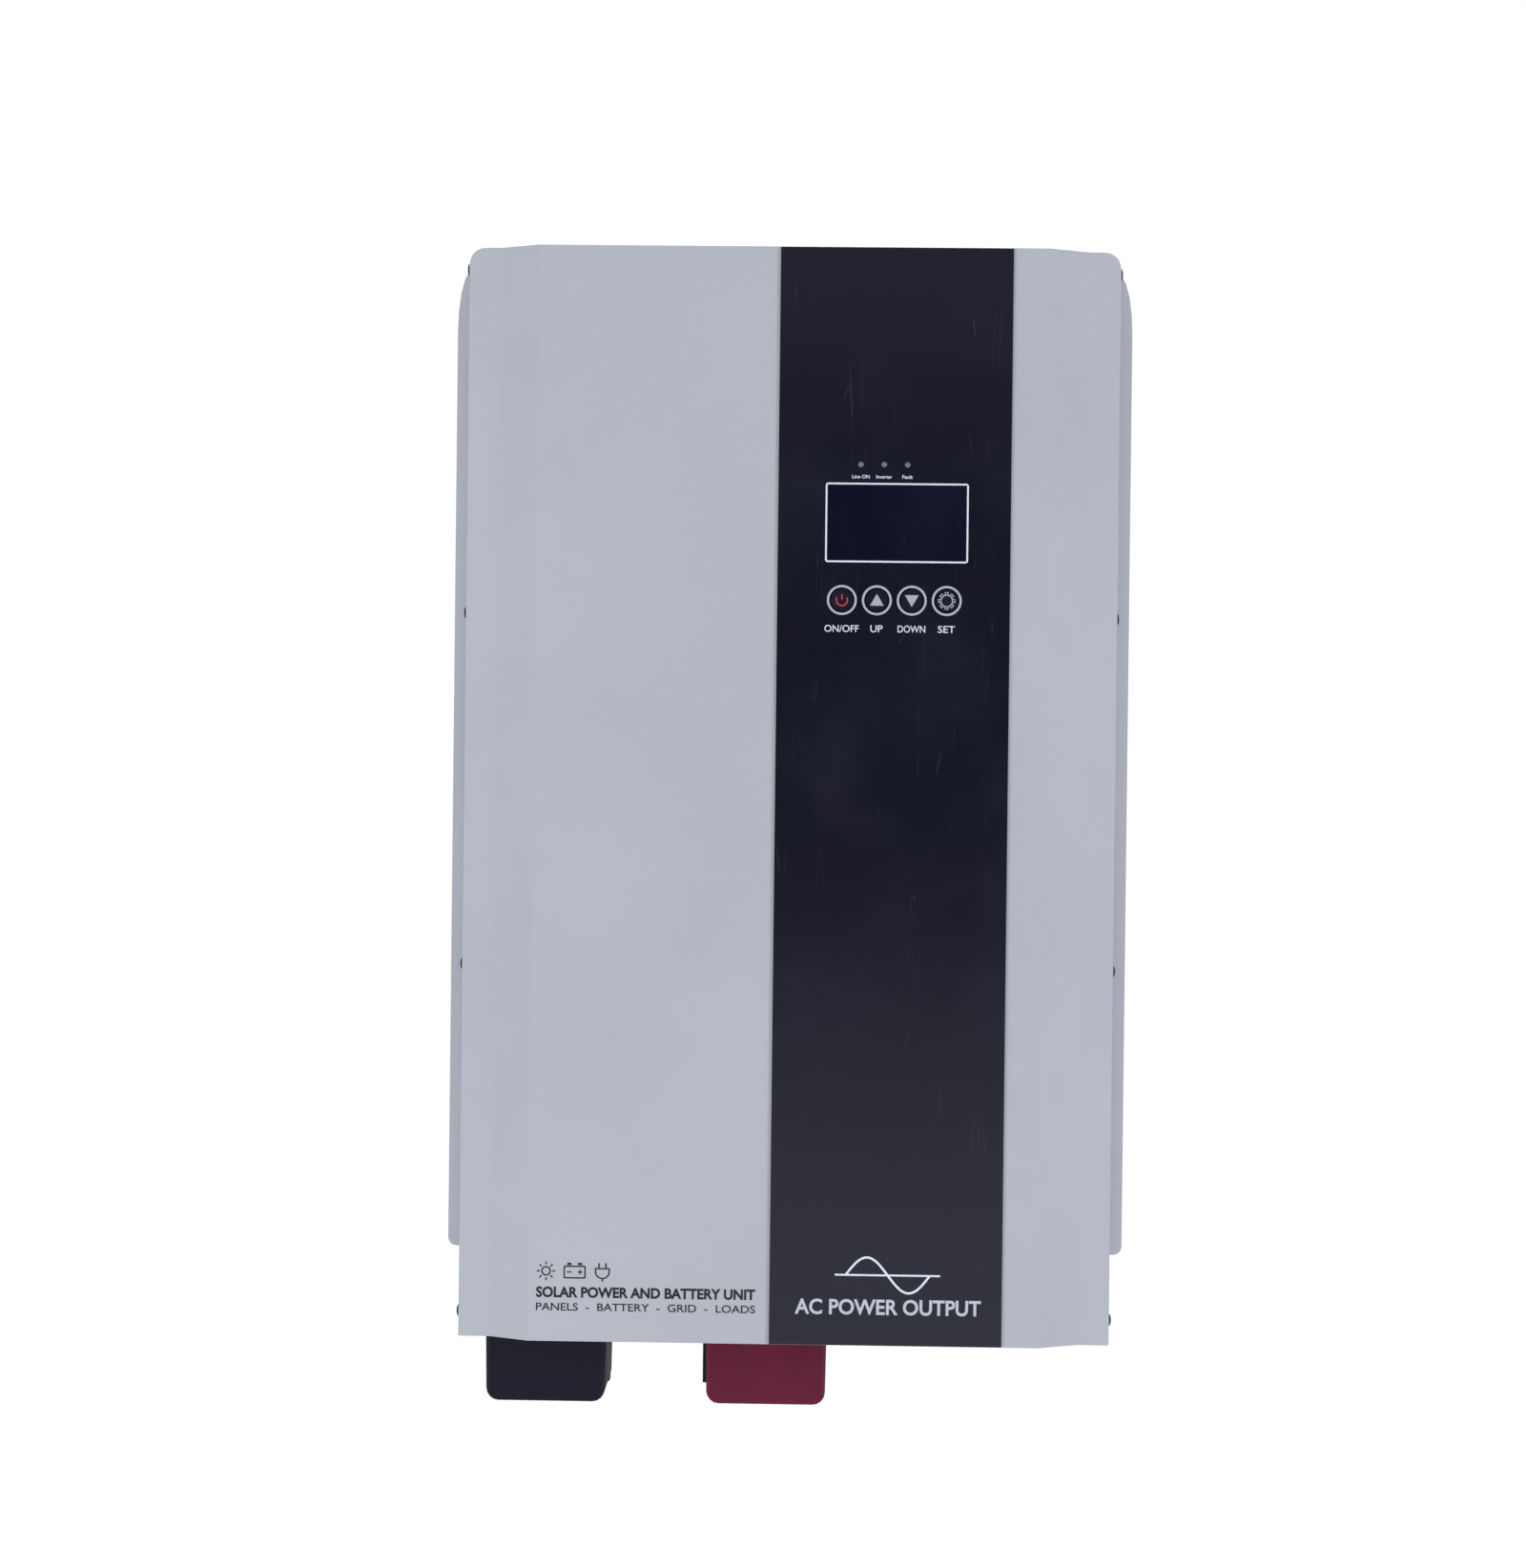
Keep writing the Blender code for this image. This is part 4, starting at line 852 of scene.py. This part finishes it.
def louvre_blades():
    """The blades bent inwards behind each slot of the hoods, which keep splashes out."""
    for side, direction in (("left", -1), ("right", 1)):
        low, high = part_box("side_louvre_" + side)
        outer = high.x if direction > 0 else low.x
        pitch = (high.z - HOOD_CURVE - low.z - HOOD_MARGIN) / LOUVRE_ROWS
        start, end = (outer - direction * depth for depth in BLADE_DEPTHS)
        bm = bmesh.new()
        for row in range(LOUVRE_ROWS):
            top = low.z + FIRST_SLOT + row * pitch + LOUVRE_SLOT
            section = [(start, top + BLADE_LIP), (end, top - BLADE_FALL),
                       (end, top - BLADE_FALL - BLADE_THICK), (start, top + BLADE_LIP - BLADE_THICK)]
            near = [bm.verts.new((x, low.y + BLADE_END_GAP, z)) for x, z in section]
            far = [bm.verts.new((x, high.y - BLADE_END_GAP, z)) for x, z in section]
            bm.faces.new(near)
            bm.faces.new(far)
            join_rings(bm, [near, far], closed=False)
        finished("louvre_blades_" + side, bm, MATERIALS["case_paint"])


def lamp_domes():
    """The diffused lamp lenses: low domes that fill their holes in the film."""
    for name in LAMP_NAMES:
        node = "led_" + name
        centre = centre_of(node)
        dome = [(0.0, LAMP_HEIGHT)]
        for step in range(1, 7):
            angle = math.pi / 2 * step / 6
            dome.append((LAMP_RADIUS * math.sin(angle), LAMP_HEIGHT * math.cos(angle)))
        dome += [(LAMP_RADIUS, -LAMP_DEPTH), (0.0, -LAMP_DEPTH)]
        foot = (centre.x, PANEL_LOW.y + LAMP_HEIGHT - LAMP_PROUD, centre.z)
        bm = bmesh.new()
        add_turned(bm, dome, foot, (0, -1, 0), 36)
        made = finished("lamp_" + name, bm, MATERIALS["led_lens"])
        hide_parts(node)


def folded_edges(bm):
    """The edges where two faces meet at more than 45 degrees."""
    limit = math.radians(45)
    return [edge for edge in bm.edges if len(edge.link_faces) == 2 and edge.calc_face_angle(0.0) > limit]


def terminal_covers():
    """The moulded terminal covers: a soft fillet round the front, and walls that draw in downwards."""
    for pole, slot_name in (("negative", "black_plastic"), ("positive", "red_plastic")):
        node = "battery_cover_" + pole
        low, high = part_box(node)
        middle = (low.x + high.x) / 2
        bm = bmesh.new()
        bm.from_mesh(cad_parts[node].data)
        bmesh.ops.remove_doubles(bm, verts=bm.verts, dist=1e-6)
        bmesh.ops.dissolve_limit(bm, angle_limit=math.radians(1.0), verts=bm.verts, edges=bm.edges)
        front = [edge for edge in folded_edges(bm) if all(abs(v.co.y - low.y) < 1e-5 for v in edge.verts)]
        bmesh.ops.bevel(bm, geom=front, offset=FRONT_FILLET, segments=5, profile=0.5, affect="EDGES")
        centre_y = (low.y + high.y) / 2
        hole = [edge for edge in folded_edges(bm) if all(abs(v.co.z - low.z) < 1e-5 for v in edge.verts)
                and abs(sum(v.co.y for v in edge.verts) / 2 - centre_y) < CABLE_HOLE_REACH]
        bmesh.ops.bevel(bm, geom=hole, offset=HOLE_CHAMFER, segments=2, profile=0.5, affect="EDGES")
        for vertex in bm.verts:
            share = max(0.0, min(1.0, (DRAFT_START - vertex.co.z) / (DRAFT_START - low.z)))
            vertex.co.x += (middle - vertex.co.x) / (high.x - low.x) * 2 * DRAFT * share
        made = finished("terminal_cover_" + pole, bm, MATERIALS[slot_name], node, sharp=30.0)
        for face in made.data.polygons:
            face.use_smooth = face.area < LARGE_FLAT
        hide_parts(node)


def port_contacts():
    """Gilt springs in the sockets of the communication ports, and a dark block in each latch notch as
    painted shade.
    """
    low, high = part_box("communication_ports")
    middle = (low + high) / 2
    gilt = bmesh.new()
    shade = bmesh.new()
    for socket in (-1, 1):
        x = middle.x + socket * PORT_PITCH / 2
        for pin in range(PORT_PINS):
            left = x - 0.0036 + pin * PIN_PITCH
            add_block(gilt, (left, middle.y + 0.0006, low.z + 0.0018),
                      (left + 0.0004, middle.y + 0.0030, low.z + 0.0024))
        # A dark block in the latch notch: painted shade where the notch only holds shadow.
        add_block(shade, (x - 0.0015, middle.y - 0.0050, low.z + 0.0016),
                  (x + 0.0015, middle.y - 0.0042, low.z + 0.0026))
    finished("port_springs", gilt, MATERIALS["brass"])
    finished("port_latch_painted_shade", shade, MATERIALS["lcd_frame"])


def panel_screws():
    """Pan heads that hold the connection panel to the lip of the chassis."""
    low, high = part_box("connection_panel")
    template = screw_head_mesh(PANEL_SCREW_RADIUS, PANEL_SCREW_HEIGHT, 0.55)
    places = []
    for x, y in ((low.x + 0.010, -0.028), (0.030, -0.150), (0.030, -0.028),
                 (high.x - 0.010, low.y + 0.010), (high.x - 0.010, -0.028)):
        places.append(((x, y, low.z), (0, 0, -1), 31 * len(places)))
    finished_heads = place_heads("panel_screws", template, places)


def underside_marks():
    """Plain symbols beside the fittings: on and off, earth, and the sense of each battery pole."""
    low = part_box("connection_panel")[0]
    front = low.z - INK_STAND_OFF
    bm = bmesh.new()

    def mark(points, width, closed=False):
        flat = bmesh.new()
        stroke(flat, points, width, 0.0, INK_THICKNESS, closed)
        for vertex in flat.verts:
            vertex.co = (vertex.co.x, vertex.co.z, front + vertex.co.y)
        add_copy(bm, flat)

    switch = centre_of("power_switch")
    mark([(switch.x, switch.y - 0.0200), (switch.x, switch.y - 0.0165)], 0.0008)
    mark(circle_points((switch.x, switch.y + 0.0185), 0.0018, 32), 0.0007, closed=True)
    ground = centre_of("ground_bolt")
    root = (ground.x, ground.y + 0.0120)
    mark([root, (root[0], root[1] + 0.0040)], 0.0006)
    for row, half in enumerate((0.0034, 0.0022, 0.0010)):
        y = root[1] + 0.0040 + row * 0.0014
        mark([(root[0] - half, y), (root[0] + half, y)], 0.0006)
    mark(circle_points((root[0], root[1] + 0.0038), 0.0056, 40), 0.0005, closed=True)
    for name, sign in (("battery_base_positive", "+"), ("battery_base_negative", "-")):
        base_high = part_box(name)[1]
        x, y = base_high.x + 0.0110, base_high.y - 0.0400
        mark([(x - 0.0045, y), (x + 0.0045, y)], 0.0014)
        if sign == "+":
            mark([(x, y - 0.0045), (x, y + 0.0045)], 0.0014)
    for supply in ("ac", "pv"):
        gland = centre_of("cable_gland_" + supply)
        x, y = gland.x - 0.0080, gland.y - 0.0300
        if supply == "ac":
            wave = [(x + 0.016 * i / 24, y + 0.0026 * math.sin(2 * math.pi * i / 24)) for i in range(25)]
            mark(wave, 0.0009)
        else:
            mark([(x, y + 0.0013), (x + 0.016, y + 0.0013)], 0.0009)
            for dash in range(3):
                mark([(x + 0.0062 * dash, y - 0.0013), (x + 0.0036 + 0.0062 * dash, y - 0.0013)], 0.0009)
    finished("underside_marks", bm, BLACK_INK)


def gland_seals():
    """The rubber insert that each cable gland squeezes, with its round mouth, just inside the nut."""
    section = ((GLAND_BORE + 0.0001, 0.0), (GLAND_BORE - 0.0012, -0.0006), (GLAND_BORE - 0.0022, 0.0006),
               (GLAND_BORE - 0.0026, 0.0060), (GLAND_BORE + 0.0001, 0.0066))
    for name in ("cable_gland_ac", "cable_gland_pv"):
        low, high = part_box(name)
        centre = (low + high) / 2
        bm = bmesh.new()
        rings = []
        for radius, height in section:
            circle = circle_points((centre.x, centre.y), radius, 40)
            rings.append([bm.verts.new((x, y, low.z + 0.0015 + height)) for x, y in circle])
        join_rings(bm, rings)
        seal = finished("seal_" + name, bm, MATERIALS["rubber"])


def add_channel(bm, outline_at, half_width, depth):
    """A shallow channel pressed along a closed line: outline_at(offset) is the line moved out by offset."""
    rows = []
    for offset, y in ((half_width, 0.001), (half_width - depth, -depth), (depth - half_width, -depth),
                      (-half_width, 0.001)):
        rows.append([bm.verts.new((x, y, z)) for x, z in outline_at(offset)])
    join_rings(bm, rows)


def pressed_chassis():
    """The rear chassis with the shallow stiffening channels that are pressed into its back plate."""
    node = "rear_chassis"
    low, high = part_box(node)
    middle = ((low.x + high.x) / 2, (low.z + high.z) / 2)
    cutters = bmesh.new()

    def frame_line(offset):
        return round_rectangle(middle, BACK_FRAME[0] + 2 * offset, BACK_FRAME[1] + 2 * offset,
                               BACK_FRAME_CORNER + offset, 8)

    add_channel(cutters, frame_line, 0.0055, BACK_PRESSING)
    for row in (-1, 0, 1):
        centre = (middle[0], middle[1] + row * BACK_FRAME[1] * 0.27)

        def bar_line(offset, centre=centre):
            return round_rectangle(centre, BACK_FRAME[0] * 0.62 + 2 * offset,
                                   BACK_BAR_HEIGHT + 2 * offset, 0.0099 + offset, 8)

        add_channel(cutters, bar_line, 0.0040, BACK_PRESSING)
    bmesh.ops.recalc_face_normals(cutters, faces=cutters.faces)
    result = cut_away(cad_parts[node].data.copy(), mesh_of(cutters, "back_cutter"))
    bm = bmesh.new()
    bm.from_mesh(result)
    bpy.data.meshes.remove(result)
    made = finished("chassis_shell", bm, MATERIALS["case_paint"], sharp=32.0)
    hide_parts(node)


def fan_guards():
    """Wire finger guards on the outside of the left wall, in the space under the hood."""
    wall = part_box("rear_chassis")[0].x
    for name in ("upper", "lower"):
        low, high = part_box("fan_frame_" + name)
        centre = (low + high) / 2
        bm = bmesh.new()
        x = wall - GUARD_STAND_OFF
        for radius in GUARD_RINGS:
            add_wire_ring(bm, (x, centre.y, centre.z), radius, 0.0007)
        for angle in (45, 135, 225, 315):
            add_wire_spoke(bm, (x, centre.y, centre.z), *GUARD_SPOKE, angle, 0.0009)
        finished("fan_guard_" + name, bm, MATERIALS["zinc_steel"])


def add_wire_ring(bm, centre, radius, wire):
    """A ring of round wire that faces sideways."""
    steps, sides = 48, 6
    rows = []
    for i in range(steps):
        a = 2 * math.pi * i / steps
        row = []
        for k in range(sides):
            b = 2 * math.pi * k / sides
            reach = radius + wire * math.cos(b)
            row.append(bm.verts.new((centre[0] + wire * math.sin(b), centre[1] + reach * math.cos(a),
                                     centre[2] + reach * math.sin(a))))
        rows.append(row)
    join_rings(bm, rows)


def add_wire_spoke(bm, centre, start, end, degrees, wire):
    """A straight wire that crosses the rings, from start to end of a radius."""
    a = math.radians(degrees)
    way = Vector((0.0, math.cos(a), math.sin(a)))
    add_turned(bm, [(0.0, start), (wire, start), (wire, end), (0.0, end)],
               Vector(centre) - Vector((wire, 0, 0)), way, 8)


terminal_covers()
port_contacts()
panel_screws()
underside_marks()
gland_seals()
pressed_chassis()
fan_guards()
cover_screw_heads()
louvre_blades()
lamp_domes()

# ---------------------------------------------------------------- camera, lights and floor


def aim(obj, place, target):
    obj.location = place
    back = (Vector(place) - Vector(target)).normalized()
    obj.rotation_euler = back.to_track_quat("Z", "Y").to_euler()


def add_camera():
    data = bpy.data.cameras.new("camera")
    data.sensor_width = SENSOR
    data.lens = LENS
    camera = bpy.data.objects.new("camera", data)
    yaw, pitch, roll = (math.radians(angle) for angle in (CAMERA_YAW, CAMERA_PITCH, CAMERA_ROLL))
    forward = Vector((math.sin(yaw) * math.cos(pitch), math.cos(yaw) * math.cos(pitch), math.sin(pitch)))
    right = Vector((math.cos(yaw), -math.sin(yaw), 0.0))
    up = right.cross(forward)
    side = math.cos(roll) * right + math.sin(roll) * up
    top = math.cos(roll) * up - math.sin(roll) * right
    turn = Matrix((side, top, -forward)).transposed()
    camera.matrix_world = Matrix.Translation(CAMERA_PLACE) @ turn.to_4x4()
    bpy.context.scene.collection.objects.link(camera)
    bpy.context.scene.camera = camera


def add_softbox(name, place, width, height, power, colour):
    data = bpy.data.lights.new(name, "AREA")
    data.shape = "RECTANGLE"
    data.size = width
    data.size_y = height
    data.energy = power
    data.color = colour
    light = bpy.data.objects.new(name, data)
    aim(light, place, LIGHTS_AIM)
    bpy.context.scene.collection.objects.link(light)


def add_world():
    """A white room to the eye. What it lights and mirrors is an even glow, darker behind the camera."""
    world = bpy.data.worlds.new("studio")
    world.use_nodes = True
    tree = world.node_tree

    def node(kind, **values):
        made = tree.nodes.new(kind)
        for key, value in values.items():
            setattr(made, key, value)
        return made

    def spread(source, low, high, start, end):
        made = node("ShaderNodeMapRange", interpolation_type="SMOOTHSTEP")
        for key, value in zip(("From Min", "From Max", "To Min", "To Max"), (low, high, start, end)):
            made.inputs[key].default_value = value
        tree.links.new(source, made.inputs["Value"])
        return made.outputs["Result"]

    def maths(operation, first, second):
        made = node("ShaderNodeMath", operation=operation)
        for socket, value in zip(made.inputs, (first, second)):
            if isinstance(value, float):
                socket.default_value = value
            else:
                tree.links.new(value, socket)
        return made.outputs["Value"]

    split = node("ShaderNodeSeparateXYZ")
    tree.links.new(node("ShaderNodeTexCoord").outputs["Generated"], split.inputs["Vector"])
    front = spread(split.outputs["Y"], *FRONT_ZONE, 0.0, 1.0)
    low = spread(split.outputs["Z"], *LOW_ZONE, FRONT_GLOW, FRONT_LOW_GLOW)
    high = spread(split.outputs["Z"], *HIGH_ZONE, 0.0, FRONT_HIGH_GLOW - FRONT_GLOW)
    ahead = maths("SUBTRACT", maths("ADD", low, high), ROOM_GLOW)
    level = maths("ADD", maths("MULTIPLY", front, ahead), ROOM_GLOW)
    glow = tree.nodes["Background"]
    glow.inputs["Color"].default_value = (*ROOM_COLOUR, 1.0)
    tree.links.new(level, glow.inputs["Strength"])
    seen = node("ShaderNodeBackground")
    seen.inputs["Color"].default_value = (1.0, 1.0, 1.0, 1.0)
    seen.inputs["Strength"].default_value = SEEN_ROOM_GLOW
    choice = node("ShaderNodeMixShader")
    tree.links.new(node("ShaderNodeLightPath").outputs["Is Camera Ray"], choice.inputs["Fac"])
    tree.links.new(glow.outputs["Background"], choice.inputs[1])
    tree.links.new(seen.outputs["Background"], choice.inputs[2])
    tree.links.new(choice.outputs["Shader"], tree.nodes["World Output"].inputs["Surface"])
    bpy.context.scene.world = world


def add_floor():
    """A pale round floor well below the unit, which hangs on a wall. It fades out towards its rim."""
    bm = bmesh.new()
    bmesh.ops.create_circle(bm, cap_ends=True, segments=96, radius=FLOOR_RADIUS)
    mesh = mesh_of(bm, "studio_floor")
    floor = bpy.data.objects.new("studio_floor", mesh)
    floor.location = (0.0, 0.0, CAD_BOUNDS[0][2] - FLOOR_DROP)
    m = Nodes("studio_floor_look")
    cloud = m.ramp(m.noise(3, 3), 0.3, 0.7)
    m.colour(m.blend(cloud, (0.80, 0.80, 0.80), (0.84, 0.84, 0.84)))
    m.set(roughness=0.8, specular=0.2)
    reach = m.add("ShaderNodeVectorMath", operation="LENGTH")
    m.link(m.place, reach.inputs[0])
    fade = m.ramp(reach.outputs["Value"], FLOOR_RADIUS * 0.45, FLOOR_RADIUS * 0.95, 1.0, 0.0)
    m.link(fade, m.shader.inputs["Alpha"])
    mesh.materials.append(m.material)
    bpy.context.scene.collection.objects.link(floor)


add_camera()
add_world()
add_floor()
for softbox in SOFTBOXES:
    add_softbox(*softbox)
bpy.context.scene.view_settings.view_transform = "Standard"
